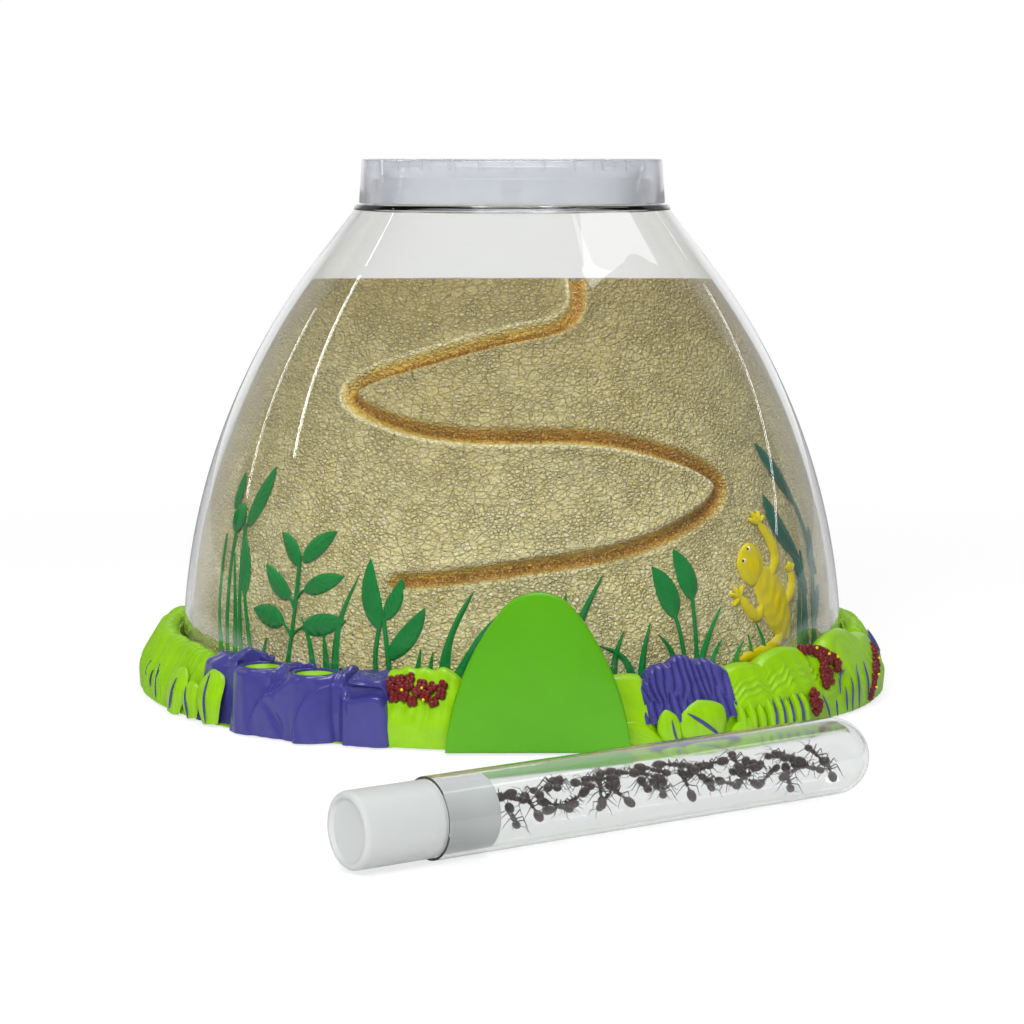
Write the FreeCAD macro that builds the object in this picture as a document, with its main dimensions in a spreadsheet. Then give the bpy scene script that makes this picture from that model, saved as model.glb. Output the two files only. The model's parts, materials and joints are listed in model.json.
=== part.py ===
import FreeCAD, Part
import math
import os
import re
import Sketcher
from FreeCAD import Placement, Rotation, Vector

# Ant habitat: a clear bell over a moulded sand mountain, on a ring of leaves and rock,
# with its lid and the stoppered tube that the ants come in.
# Millimetres, +Z up, the front faces -Y. Azimuths count from the front towards +X.

# name, value, what it is
SIZES = (
    ("bell_radius", 245.0, "radius of the bell curve of the dome's side"),
    ("bell_offset", 119.9, "how far that curve's centre lies beyond the axis"),
    ("bell_height", 8.9, "height of that curve's centre"),
    ("bell_bands", 6, "straight bands that follow the bell curve"),
    ("shoulder_height", 152.6, "where the bell curve turns into the cone"),
    ("collar_radius", 59.6, "radius of the collar under the lid"),
    ("collar_base", 178.0, "height where the cone ends"),
    ("collar_rise", 1.7, "height of the collar's bevel"),
    ("collar_bevel", 1.2, "width of the collar's bevel"),
    ("neck_radius", 53.0, "outer radius of the dome's neck"),
    ("neck_rise", 10.0, "height of the neck above the collar"),
    ("dome_wall", 2.0, "wall of the clear dome"),
    ("dome_flange_width", 1.9, "width of the dome's foot rim, held down by the ring"),
    ("dome_flange_thick", 2.0, "thickness of the dome's foot rim"),
    ("core_gap", 4.0, "tunnel space between the mountain and the dome"),
    ("core_wall", 7.0, "wall of the hollow mountain"),
    ("core_top", 151.3, "height of the sand top at the axis"),
    ("core_crown", 157.0, "height of the mountain before its top is cut"),
    ("core_tilt", 2.46, "tilt of the sand top in degrees, front edge high"),
    ("path_half_width", 3.2, "half width of the ant path's groove"),
    ("path_depth", 3.4, "depth of the ant path's groove"),
    ("pan_floor", 2.5, "floor of the pan"),
    ("pan_wall", 2.2, "wall of the pan"),
    ("pan_clearance", 0.5, "play between the mountain and the pan's wall"),
    ("pan_height", 16.0, "height of the pan's wall"),
    ("pan_flange_height", 9.5, "underside of the pan's flange"),
    ("pan_flange_thick", 2.5, "thickness of the pan's flange"),
    ("pan_flange_width", 8.9, "width of the pan's flange, measured out from the dome's foot"),
    ("screw_circle_inset", 5.9, "screw circle, measured out from the dome's foot"),
    ("screw_count", 6, "screws through the pan into the ring"),
    ("screw_shaft", 1.5, "radius of a screw's shaft"),
    ("screw_length", 7.0, "length of a screw's shaft"),
    ("screw_head", 2.8, "radius of a screw's head"),
    ("screw_head_thick", 1.8, "thickness of a screw's head"),
    ("screw_play", 0.2, "play round a screw's shaft"),
    ("post_radius", 3.0, "radius of the ring's screw posts"),
    ("ring_reach", 14.9, "width of the ring, measured out from the dome's foot"),
    ("ring_clearance", 0.9, "play between the ring and the dome"),
    ("ring_height", 20.0, "height of the ring's top"),
    ("ring_wall", 2.4, "wall of the ring"),
    ("ring_bank", 9.0, "height where the ring's bank starts to lean in"),
    ("ring_lean", 7.0, "how far the bank leans in at the top"),
    ("lid_height", 16.5, "height of the lid"),
    ("lid_room", 1.5, "room between the dome's neck and the lid's skirt at the top"),
    ("lid_draft", 1.1, "how much wider the lid is at its rim"),
    ("lid_plate", 2.5, "thickness of the lid's plate"),
    ("lid_skirt", 1.8, "wall of the lid's skirt"),
    ("lid_play", 0.3, "play between lid and dome"),
    ("plug_room", 1.0, "room between the dome's neck and the lid's inner skirt"),
    ("plug_wall", 2.0, "wall of the lid's inner skirt"),
    ("plug_depth", 13.0, "depth of the lid's inner skirt"),
    ("rib_count", 30, "stiffening ribs under the lid's edge"),
    ("rib_height", 3.6, "height of a rib"),
    ("rib_thick", 1.2, "thickness of a rib"),
    ("vent_count", 8, "air holes in the lid"),
    ("vent_radius", 0.75, "radius of an air hole"),
    ("vent_circle", 12.0, "radius of the circle of air holes"),
    ("nub_radius", 4.2, "radius of the moulding nub under the lid"),
    ("nub_depth", 3.0, "depth of the moulding nub"),
    ("rock_start", -49.6, "azimuth of the rock's left end"),
    ("rock_end", -17.3, "azimuth of the rock's right end"),
    ("rock_stand", 2.4, "how far the rock stands out of the ring"),
    ("rock_height", 19.5, "height of the rock's shelf"),
    ("rock_gap", 0.3, "gap between the rock and the ring"),
    ("socket_radius", 6.65, "bore of a tube socket"),
    ("socket_wall", 3.2, "wall round a tube socket at its rim"),
    ("socket_rim", 22.6, "height of the socket rims"),
    ("socket_depth", 7.6, "depth of a tube socket"),
    ("socket_back", 1.2, "wall between a socket and the back of the rock"),
    ("socket_left", -40.0, "azimuth of the left socket"),
    ("socket_right", -30.2, "azimuth of the right socket"),
    ("shield_x", 8.7, "sideways place of the front shield"),
    ("shield_half_width", 31.0, "half width of the shield at its foot"),
    ("shield_height", 54.0, "height of the shield"),
    ("shield_crown_half", 12.0, "half width where the crown's arc starts"),
    ("shield_crown_drop", 5.4, "height of the crown's arc"),
    ("shield_side_radius", 88.0, "radius of the shield's sides"),
    ("shield_crown_radius", 15.5, "radius of the shield's crown"),
    ("shield_thick", 3.6, "thickness of the shield"),
    ("shield_edge", 0.8, "chamfer of the shield's front edge"),
    ("shield_stand", 5.7, "shield's front face, measured out from the ring"),
    ("shield_boss_half", 17.0, "half width of the boss behind the shield"),
    ("shield_boss_height", 8.0, "height of the boss behind the shield"),
    ("relief_unit", 1.0, "length that the tables of leaves, limbs and rock corners count in"),
    ("leaf_seat", 0.5, "height of the mountain relief's edge over its ground"),
    ("bank_seat", 0.9, "height of the ring relief's edge, clear of the bank's bend"),
    ("shrub_thick", 2.8, "thickness of the shrubs' lobes"),
    ("berry_radius", 1.9, "radius of a berry"),
    ("eye_radius", 1.5, "radius of the gecko's eyes"),
    ("eye_lift", 1.9, "height of the eyes' centres over the mountain"),
    ("tube_length", 187.6, "length of the tube with its stopper in"),
    ("tube_radius", 12.0, "outer radius of the ant tube"),
    ("tube_wall", 1.2, "wall of the ant tube"),
    ("tube_gap", 109.6, "distance of the tube's middle from the ring"),
    ("tube_x", 31.6, "sideways place of the tube's middle"),
    ("tube_yaw", 34.3, "turn of the tube on the ground in degrees"),
    ("knob_length", 26.6, "length of the stopper's knob"),
    ("knob_radius", 11.2, "radius of the stopper's knob"),
    ("knob_wall", 1.6, "wall of the stopper"),
    ("plug_length", 18.0, "length of the stopper's plug in the tube"),
    ("plug_play", 0.2, "play between the stopper and the tube"),
    ("grip_count", 24, "grip ribs round the knob"),
    ("grip_height", 0.35, "height of a grip rib"),
    ("ant_length", 11.5, "length of an ant"),
    ("ant_count", 9, "ants in each lane in the tube"),
    ("ant_lanes", 4, "lanes of ants round the tube's lower side"),
)

# sizes that follow from others, by the names used below
DERIVED = {
    "foot_radius": "(bell_radius - bell_offset)",
    "collar_top": "(collar_base + collar_rise)",
    "neck_top": "(collar_top + neck_rise)",
    "lid_radius": "(neck_radius + lid_room + lid_skirt)",
    "plug_radius": "(neck_radius - dome_wall - plug_room)",
    "pan_flange_top": "(pan_flange_height + pan_flange_thick)",
    "pan_outer": "(pan_inner + pan_wall)",
    "pan_inner": "(foot_radius - dome_wall - core_gap + pan_clearance)",
    "flange_top": "(pan_flange_top + dome_flange_thick)",
    "flange_outer": "(foot_radius + dome_flange_width)",
    "pan_rim": "(foot_radius + pan_flange_width)",
    "screw_circle": "(foot_radius + screw_circle_inset)",
    "ring_inner": "(foot_radius + ring_clearance)",
    "ring_outer": "(foot_radius + ring_reach)",
    "plug_end": "(knob_length + plug_length)",
    "socket_circle": "(ring_inner + rock_gap + socket_back + socket_radius)",
    "berry_lift": "(bank_seat + shrub_thick + rock_gap + berry_radius)",
}

DOCUMENT = FreeCAD.newDocument("ant_habitat")


def make_sheet():
    """Write the driving sizes to the spreadsheet, each cell with its name as alias."""
    sheet = DOCUMENT.addObject("Spreadsheet::Sheet", "sizes")
    for row, (name, size, note) in enumerate(SIZES, 1):
        sheet.set(f"A{row}", note)
        sheet.set(f"B{row}", str(size))
        sheet.setAlias(f"B{row}", name)
    DOCUMENT.recompute()
    return sheet


SHEET = make_sheet()
NAMES = {name for name, _, _ in SIZES}


def formula(text):
    """Expand derived names, then point each size name at its spreadsheet cell."""
    while any(word in DERIVED for word in re.findall(r"[a-z_]+", text)):
        text = re.sub(r"[a-z_]+", lambda word: DERIVED.get(word[0], word[0]), text)
    return re.sub(r"[a-z_]+", lambda word: f"sizes.{word[0]}" if word[0] in NAMES else word[0], text)


def value(text):
    """The number that a formula gives for the sizes in the spreadsheet."""
    return float(SHEET.evalExpression(formula(text)))


def bell(inset, height):
    """Formula of the radius of the bell curve, moved in by inset, at a height."""
    return f"(sqrt((bell_radius - ({inset}))^2 - (({height}) - bell_height)^2) - bell_offset)"


def bell_side(inset, low, high):
    """Corners along the bell curve between two heights, at even steps."""
    bands = int(value("bell_bands"))
    heights = [f"(({low}) + (({high}) - ({low})) * {step} / {bands})" for step in range(bands + 1)]
    return tuple((bell(inset, height), height) for height in heights)


# ---------------------------------------------------------------- sketches and bodies

def new_body(label):
    """An empty PartDesign body whose label names the sub-part."""
    body = DOCUMENT.addObject("PartDesign::Body", label)
    body.Label = label
    body.Placement = Placement()
    return body


def sketch_on(body, role, rise="0", turn=0.0):
    """A sketch on the body's own origin plane, lifted by rise, turned about its own Y."""
    sketch = body.newObject("Sketcher::SketchObject", f"{body.Name}_sketch")
    plane = next(item for item in body.Origin.OriginFeatures if item.Role == role)
    sketch.AttachmentSupport = (plane, "")
    sketch.MapMode = "FlatFace"
    sketch.AttachmentOffset = Placement(Vector(0, 0, value(rise)), Rotation(Vector(0, 1, 0), turn))
    sketch.setExpression("AttachmentOffset.Base.z", formula(rise))
    return sketch


def arc_between(start, end, radius):
    """Arc from start to end; its centre lies left of the way for a radius over 0."""
    chord = end - start
    reach = math.sqrt(radius ** 2 - (chord.Length / 2) ** 2)
    left = Vector(-chord.y, chord.x, 0).normalize()
    centre = (start + end) / 2 + left * math.copysign(reach, radius)
    first, last = (start, end) if radius > 0 else (end, start)
    from_angle = math.atan2(first.y - centre.y, first.x - centre.x)
    to_angle = math.atan2(last.y - centre.y, last.x - centre.x)
    return Part.ArcOfCircle(Part.Circle(centre, Vector(0, 0, 1), abs(radius)), from_angle, to_angle)


def pin(sketch, side, spot, axis, text):
    """Hold one coordinate of a sketch point at the value of a formula."""
    size = value(text)
    if abs(size) < 1e-9:
        sketch.addConstraint(Sketcher.Constraint("PointOnObject", side, spot, -2 if axis == "X" else -1))
        return
    ends = (-1, 1, side, spot) if size > 0 else (side, spot, -1, 1)
    index = sketch.addConstraint(Sketcher.Constraint(f"Distance{axis}", *ends, abs(size)))
    sketch.setExpression(f"Constraints[{index}]", formula(text if size > 0 else f"-({text})"))


def draw_outline(sketch, corners, arcs=None):
    """Closed outline through corners given as formula pairs; arcs maps a side to its radius."""
    arcs = arcs or {}
    spots = [Vector(value(x), value(y), 0) for x, y in corners]
    spot_ids = []
    for side, start in enumerate(spots):
        end = spots[(side + 1) % len(spots)]
        radius = value(arcs[side]) if side in arcs else 0
        edge = arc_between(start, end, radius) if radius else Part.LineSegment(start, end)
        spot_ids.append((2, 1) if radius < 0 else (1, 2))
        sketch.addGeometry(edge)
    for side, (x, y) in enumerate(corners):
        following = (side + 1) % len(corners)
        meet = (side, spot_ids[side][1], following, spot_ids[following][0])
        sketch.addConstraint(Sketcher.Constraint("Coincident", *meet))
        pin(sketch, side, spot_ids[side][0], "X", x)
        pin(sketch, side, spot_ids[side][0], "Y", y)
    for side, radius in arcs.items():
        index = sketch.addConstraint(Sketcher.Constraint("Radius", side, abs(value(radius))))
        sketch.setExpression(f"Constraints[{index}]", formula(f"abs({radius})"))


def draw_circle(sketch, x, y, radius):
    """A circle whose centre and radius follow formulas."""
    centre = Vector(value(x), value(y), 0)
    side = sketch.addGeometry(Part.Circle(centre, Vector(0, 0, 1), value(radius)))
    pin(sketch, side, 3, "X", x)
    pin(sketch, side, 3, "Y", y)
    index = sketch.addConstraint(Sketcher.Constraint("Radius", side, value(radius)))
    sketch.setExpression(f"Constraints[{index}]", formula(radius))


def revolve(body, corners, arcs=None, axis="V_Axis"):
    """Turn an outline on the body's XZ plane once round an axis of its sketch."""
    sketch = sketch_on(body, "XZ_Plane")
    draw_outline(sketch, corners, arcs)
    turned = body.newObject("PartDesign::Revolution", f"{body.Name}_turned")
    turned.Profile = sketch
    turned.ReferenceAxis = (sketch, [axis])
    turned.Angle = 360
    sketch.Visibility = False
    DOCUMENT.recompute()
    return turned


def pad(body, sketch, depth, reverse=False):
    """Extrude a sketch by the value of a formula."""
    block = body.newObject("PartDesign::Pad", f"{body.Name}_pad")
    block.Profile = sketch
    block.Length = value(depth)
    block.setExpression("Length", formula(depth))
    block.Reversed = reverse
    sketch.Visibility = False
    DOCUMENT.recompute()
    return block


def pocket(body, sketch, depth, reverse=False):
    """Cut a sketch into the body and check that something went."""
    before = body.Shape.Volume
    hole = body.newObject("PartDesign::Pocket", f"{body.Name}_pocket")
    hole.Profile = sketch
    hole.Length = value(depth)
    hole.setExpression("Length", formula(depth))
    hole.Reversed = reverse
    sketch.Visibility = False
    DOCUMENT.recompute()
    if hole.Shape.Volume >= before:
        raise RuntimeError(f"{hole.Name} cuts nothing")
    return hole


def repeat_round(body, feature, sketch, count, axis="N_Axis"):
    """Repeat a feature evenly round an axis of its sketch."""
    pattern = body.newObject("PartDesign::PolarPattern", f"{body.Name}_pattern")
    pattern.Originals = [feature]
    pattern.Axis = (sketch, [axis])
    pattern.Angle = 360
    pattern.Occurrences = int(value(count))
    pattern.setExpression("Occurrences", formula(count))
    body.Tip = pattern
    DOCUMENT.recompute()
    return pattern


# ---------------------------------------------------------------- the turned shells

def make_dome():
    """Clear dome: bell-shaped side, shoulder, cone, collar and neck over a foot flange."""
    body = new_body("clear_dome")
    inner_side = bell_side("dome_wall", "pan_flange_top", "shoulder_height - 0.6*dome_wall")
    corners = (
        ("flange_outer", "pan_flange_top"),
        ("flange_outer", "flange_top"),
        *bell_side("0", "flange_top", "shoulder_height"),
        ("collar_radius", "collar_base"),
        ("collar_radius - collar_bevel", "collar_top"),
        ("neck_radius", "collar_top"),
        ("neck_radius", "neck_top"),
        ("neck_radius - dome_wall", "neck_top"),
        ("neck_radius - dome_wall", "collar_top - dome_wall"),
        ("collar_radius - 0.8*dome_wall", "collar_base - 0.6*dome_wall"),
        *reversed(inner_side),
    )
    revolve(body, corners)
    return body


def cut_screw_holes(body, base, depth):
    """Holes for the base screws, from base up through depth."""
    sketch = sketch_on(body, "XY_Plane", base)
    draw_circle(sketch, "0", "-screw_circle", "screw_shaft + screw_play")
    hole = pocket(body, sketch, depth, reverse=True)
    repeat_round(body, hole, sketch, "screw_count")


def make_pan():
    """Floor pan: carries the mountain inside its wall and the dome on its flange."""
    body = new_body("floor_pan")
    corners = (
        ("0", "0"),
        ("pan_outer", "0"),
        ("pan_outer", "pan_flange_height"),
        ("pan_rim", "pan_flange_height"),
        ("pan_rim", "pan_flange_top"),
        ("pan_outer", "pan_flange_top"),
        ("pan_outer", "pan_height"),
        ("pan_inner", "pan_height"),
        ("pan_inner", "pan_floor"),
        ("0", "pan_floor"),
    )
    revolve(body, corners)
    cut_screw_holes(body, "pan_flange_height", "pan_flange_thick")
    return body


def make_screws():
    """The base screws as one group: pan head below the flange, shaft up into a post."""
    body = new_body("base_screws")
    sketch = sketch_on(body, "XY_Plane", "pan_flange_height - screw_head_thick")
    draw_circle(sketch, "0", "-screw_circle", "screw_head")
    head = pad(body, sketch, "screw_head_thick")
    shaft_sketch = sketch_on(body, "XY_Plane", "pan_flange_height")
    draw_circle(shaft_sketch, "0", "-screw_circle", "screw_shaft")
    pad(body, shaft_sketch, "screw_length")
    one = body.Shape.copy()
    count = int(value("screw_count"))
    group = DOCUMENT.addObject("Part::Feature", "base_screw_group")
    turned = [one.rotated(Vector(), Vector(0, 0, 1), 360.0 * turn / count) for turn in range(count)]
    group.Shape = Part.makeCompound(turned)
    group.Placement = Placement()
    head.Visibility = False
    body.Label = "one_base_screw"
    group.Label = "base_screws"
    return group


def make_ring():
    """Base ring: hollow bank round the dome's foot, with screw posts and a bay for the rock."""
    body = new_body("base_ring")
    corners = (
        ("ring_outer", "0"),
        ("ring_outer", "ring_bank"),
        ("ring_outer - ring_lean", "ring_height"),
        ("ring_inner", "ring_height"),
        ("ring_inner", "flange_top + rock_gap"),
        ("ring_inner + ring_wall", "flange_top + rock_gap"),
        ("ring_inner + ring_wall", "ring_height - ring_wall"),
        ("ring_outer - ring_lean - ring_wall", "ring_height - ring_wall"),
        ("ring_outer - ring_wall", "ring_bank - ring_wall/2"),
        ("ring_outer - ring_wall", "0"),
    )
    revolve(body, corners)
    post_sketch = sketch_on(body, "XY_Plane", "pan_flange_top")
    draw_circle(post_sketch, "0", "-screw_circle", "post_radius")
    post = pad(body, post_sketch, "ring_height - pan_flange_top - ring_wall/2")
    repeat_round(body, post, post_sketch, "screw_count")
    hole_sketch = sketch_on(body, "XY_Plane", "pan_flange_top")
    draw_circle(hole_sketch, "0", "-screw_circle", "screw_shaft + screw_play")
    depth = "screw_length + pan_flange_height - pan_flange_top + 2*screw_play"
    hole = pocket(body, hole_sketch, depth, reverse=True)
    repeat_round(body, hole, hole_sketch, "screw_count")
    cut_rock_bay(body)
    return body


def cut_rock_bay(body):
    """Open the ring between the rock's two ends."""
    before = body.Shape.Volume
    # the sketch plane's X axis points at azimuth 90, so the bay starts from there
    sketch = sketch_on(body, "XZ_Plane", turn=value("rock_start - 90"))
    margin = "ring_reach"
    corners = (
        (f"ring_inner - {margin}", f"-{margin}"),
        (f"ring_outer + {margin}", f"-{margin}"),
        (f"ring_outer + {margin}", f"ring_height + {margin}"),
        (f"ring_inner - {margin}", f"ring_height + {margin}"),
    )
    draw_outline(sketch, corners)
    sketch.setExpression("AttachmentOffset.Rotation.Angle", formula("rock_start - 90"))
    groove = body.newObject("PartDesign::Groove", "rock_bay")
    groove.Profile = sketch
    groove.ReferenceAxis = (sketch, ["V_Axis"])
    groove.Angle = value("rock_end - rock_start")
    groove.setExpression("Angle", formula("rock_end - rock_start"))
    sketch.Visibility = False
    DOCUMENT.recompute()
    if groove.Shape.Volume >= before:
        raise RuntimeError("the rock bay cuts nothing")


def make_lid():
    """Lid: plate, outer skirt, plug skirt, ribs between them, air holes and a nub."""
    body = new_body("vent_lid")
    corners = (
        ("0", "lid_height"),
        ("lid_radius", "lid_height"),
        ("lid_radius + lid_draft", "0"),
        ("lid_radius + lid_draft - lid_skirt", "0"),
        ("lid_radius - lid_skirt", "lid_height - lid_plate"),
        ("plug_radius", "lid_height - lid_plate"),
        ("plug_radius", "lid_height - lid_plate - plug_depth"),
        ("plug_radius - plug_wall", "lid_height - lid_plate - plug_depth"),
        ("plug_radius - plug_wall", "lid_height - lid_plate"),
        ("nub_radius", "lid_height - lid_plate"),
        ("nub_radius", "lid_height - lid_plate - nub_depth"),
        ("0", "lid_height - lid_plate - nub_depth"),
    )
    revolve(body, corners)
    rib_sketch = sketch_on(body, "XY_Plane", "lid_height - lid_plate")
    overlap = "lid_skirt/4"
    rib_corners = (
        (f"plug_radius - {overlap}", "-rib_thick/2"),
        (f"lid_radius - lid_skirt + {overlap}", "-rib_thick/2"),
        (f"lid_radius - lid_skirt + {overlap}", "rib_thick/2"),
        (f"plug_radius - {overlap}", "rib_thick/2"),
    )
    draw_outline(rib_sketch, rib_corners)
    rib = pad(body, rib_sketch, "rib_height", reverse=True)
    repeat_round(body, rib, rib_sketch, "rib_count")
    vent_sketch = sketch_on(body, "XY_Plane", "lid_height")
    draw_circle(vent_sketch, "vent_circle", "0", "vent_radius")
    vent = pocket(body, vent_sketch, "lid_plate")
    repeat_round(body, vent, vent_sketch, "vent_count")
    body.setExpression("Placement.Base.z", formula("collar_top + lid_play"))
    return body


# ---------------------------------------------------------------- the mountain

def core_side():
    """Corners of the mountain's side as numbers, from its foot up."""
    corners = bell_side("dome_wall + core_gap", "pan_floor", "core_crown")
    return [(value(radius), value(height)) for radius, height in corners]


CORE_SIDE = core_side()


def core_radius(height, lift=0.0):
    """Radius of the mountain's surface at a height, plus a lift off it."""
    for (low_radius, low), (high_radius, high) in zip(CORE_SIDE, CORE_SIDE[1:]):
        if height <= high:
            break
    return low_radius + (high_radius - low_radius) * (height - low) / (high - low) + lift


def polar(azimuth, radius, height):
    """The point at an azimuth from the front, a radius and a height."""
    turn = math.radians(azimuth)
    return Vector(radius * math.sin(turn), -radius * math.cos(turn), height)


# the ant path as azimuth and height, from the sand top down to the foot
ANT_PATH = (
    (17.9, 159.0), (16.9, 147.0), (3.0, 135.8), (-20.9, 126.5), (-35.3, 114.5), (-24.9, 106.4),
    (5.9, 101.9), (27.4, 96.5), (40.9, 82.5), (29.9, 69.5), (3.4, 59.1), (-17.4, 53.6), (-19.5, 53.3),
)


def make_mountain():
    """Sand mountain: hollow turned shell, its top cut level, with the swept ant path."""
    shell = new_body("mountain_shell")
    inner = "dome_wall + core_gap + core_wall"
    hollow_top = "core_top - 2*core_wall"
    corners = (
        *bell_side("dome_wall + core_gap", "pan_floor", "core_crown"),
        ("0", "core_crown"),
        ("0", hollow_top),
        (bell(inner, hollow_top), hollow_top),
        (bell(inner, "pan_floor"), "pan_floor"),
    )
    revolve(shell, corners)
    top_cut = DOCUMENT.addObject("Part::Box", "top_cut")
    width = value("2*foot_radius")
    top_cut.Length = top_cut.Width = top_cut.Height = width
    for side in ("Length", "Width", "Height"):
        top_cut.setExpression(side, formula("2*foot_radius"))
    tilt = Rotation(Vector(1, 0, 0), -value("core_tilt"))
    corner = tilt.multVec(Vector(-width / 2, -width / 2, 0))
    top_cut.Placement = Placement(Vector(0, 0, value("core_top")) + corner, tilt)
    groove = DOCUMENT.addObject("Part::Feature", "ant_path_sweep")
    groove.Shape = sweep_path()
    levelled = DOCUMENT.addObject("Part::Cut", "levelled_mountain")
    levelled.Base = shell
    levelled.Tool = top_cut
    mountain = DOCUMENT.addObject("Part::Cut", "sand_mountain")
    mountain.Base = levelled
    mountain.Tool = groove
    mountain.Label = "sand_mountain"
    mountain.Placement = Placement()
    DOCUMENT.recompute()
    return mountain


# the ant path's section: share of its half width, share of its depth (over 0 is outside)
PATH_SECTION = ((1.0, 0.5), (1.0, -0.2), (0.55, -1.0), (-0.55, -1.0), (-1.0, -0.2), (-1.0, 0.5))
PATH_STEPS = 36


def sweep_path():
    """The ant path's cutter: its section carried along a smooth way over the surface."""
    depth = value("path_depth")
    route = Route(ANT_PATH)
    points = [on_core(*route.place(0.0, 0.0), -depth / 2)]
    for step in range(PATH_STEPS):
        share = (step + 0.5) / PATH_STEPS
        for across, level in PATH_SECTION:
            spot = route.place(share, across * value("path_half_width"))
            points.append(on_core(*spot, level * depth))
    points.append(on_core(*route.place(1.0, 0.0), -depth / 2))
    return skin_sections(points, len(PATH_SECTION), PATH_STEPS)


# ---------------------------------------------------------------- relief pieces

UNIT = value("relief_unit")


def on_core(azimuth, height, lift=0.0):
    """A point on the mountain's surface."""
    return polar(azimuth, core_radius(height, lift), height)


def on_ring(azimuth, height, lift=0.0):
    """A point on the ring's outer bank."""
    lean = value("ring_lean / (ring_height - ring_bank)")
    radius = value("ring_outer") - max(0.0, height - value("ring_bank")) * lean
    return polar(azimuth, radius + lift, height)


def seat_on(surface):
    """How far a relief's edge stands off its ground."""
    return value("leaf_seat" if surface is on_core else "bank_seat")


def facet_solid(points, triangles):
    """A closed solid from flat triangles."""
    faces = []
    for corners in triangles:
        ring = [points[corner] for corner in corners]
        faces.append(Part.Face(Part.makePolygon(ring + ring[:1])))
    solid = Part.makeSolid(Part.makeShell(faces))
    if solid.Volume < 0:
        solid.reverse()
    return solid


def skin_sections(points, ring, count):
    """Triangles of a closed skin: a tip, count sections of ring points, and a tip."""
    triangles = []
    last = 1 + count * ring
    for side in range(ring):
        following = (side + 1) % ring
        triangles.append((0, 1 + following, 1 + side))
        triangles.append((last, last - ring + side, last - ring + following))
        for section in range(count - 1):
            near = 1 + section * ring
            far = near + ring
            triangles.append((near + side, near + following, far + following))
            triangles.append((near + side, far + following, far + side))
    return facet_solid(points, triangles)


class Route:
    """A smooth way over a surface, in millimetres across and up, read by a share from 0 to 1."""

    def __init__(self, spots):
        self.scale = math.radians(1.0) * value("foot_radius")
        flat = [Vector(azimuth * self.scale, height * UNIT, 0) for azimuth, height in spots]
        self.curve = Part.BSplineCurve()
        self.curve.interpolate(flat)

    def place(self, share, side):
        """Azimuth and height beside the way, side millimetres to its left."""
        first, last = self.curve.FirstParameter, self.curve.LastParameter
        at = first + share * (last - first)
        along = self.curve.tangent(at)[0]
        spot = self.curve.value(at) + Vector(-along.y, along.x, 0) * side
        return spot.x / self.scale, spot.y


# a section's corners: share of the half width, share of the thickness
RIDGE = ((1.0, 0.0), (0.0, 1.0), (-1.0, 0.0))
ROUND = ((1.0, 0.0), (0.62, 0.8), (0.0, 1.0), (-0.62, 0.8), (-1.0, 0.0))


def relief(surface, spots, half_width, thick, sections=4, profile=RIDGE, power=0.7):
    """A raised strip on a surface, pointed at both ends, widest in its middle."""
    seat = seat_on(surface)
    route = Route(spots)
    points = [surface(*route.place(0.0, 0.0), seat + 0.3 * thick * UNIT)]
    for section in range(1, sections + 1):
        share = section / (sections + 1)
        swell = math.sin(math.pi * share) ** power
        for across, up in profile:
            azimuth, height = route.place(share, across * half_width * UNIT * swell)
            lift = up * thick * UNIT * (0.4 + 0.6 * swell)
            points.append(surface(azimuth, height, seat + lift))
    points.append(surface(*route.place(1.0, 0.0), seat + 0.3 * thick * UNIT))
    return skin_sections(points, len(profile), sections)


def blade(surface, spots, half_width, thick, sections=4, profile=RIDGE):
    """A raised strip that is wide at its foot and runs out to a point."""
    seat = seat_on(surface)
    route = Route(spots)
    points = [surface(*route.place(0.0, 0.0), seat + 0.5 * thick * UNIT)]
    for section in range(sections):
        share = 0.03 + 0.97 * section / sections
        taper = (1.0 - share) ** 0.6
        for across, up in profile:
            azimuth, height = route.place(share, across * half_width * UNIT * taper)
            lift = up * thick * UNIT * (0.4 + 0.6 * taper)
            points.append(surface(azimuth, height, seat + lift))
    points.append(surface(*route.place(1.0, 0.0), seat + 0.2 * thick * UNIT))
    return skin_sections(points, len(profile), sections)


def group(label, solids):
    """One sub-part from several solids; those that meet are fused."""
    piece = DOCUMENT.addObject("Part::Feature", label)
    piece.Shape = solids[0].multiFuse(solids[1:]) if len(solids) > 1 else solids[0]
    piece.Placement = Placement()
    piece.Label = label
    return piece


LEAF = 1.3
STEM = 0.9
STEM_HALF = 0.75


def stem(spots):
    """A thin stem on the mountain."""
    return blade(on_core, spots, STEM_HALF, STEM, sections=3)


def leaf(base, tip, half_width):
    """A pointed leaf with a raised midrib on the mountain."""
    return relief(on_core, (base, tip), half_width, LEAF, sections=5)


def grass(*spots, half_width=1.4):
    """A blade of grass on the mountain."""
    return blade(on_core, spots, half_width, LEAF)


def make_sprig():
    """Sprig with six leaves, left of the front."""
    solids = [
        stem(((-39.6, 21.0), (-39.0, 33.0), (-38.8, 59.0))),
        leaf((-39.4, 56.0), (-44.0, 66.4), 3.3),
        leaf((-38.0, 58.0), (-31.6, 68.2), 3.6),
        leaf((-39.6, 42.5), (-46.8, 55.0), 3.6),
        leaf((-37.9, 47.0), (-29.4, 53.4), 3.6),
        leaf((-39.8, 33.0), (-48.8, 38.6), 4.0),
        leaf((-38.0, 33.5), (-28.2, 37.2), 4.1),
        grass((-34.4, 21.0), (-35.0, 29.0), (-37.4, 37.0)),
        grass((-31.7, 21.0), (-32.0, 27.0), (-32.6, 33.0)),
        grass((-30.0, 21.0), (-29.8, 36.0), (-26.0, 55.0), half_width=1.7),
    ]
    return group("leafy_sprig", solids)


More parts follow.
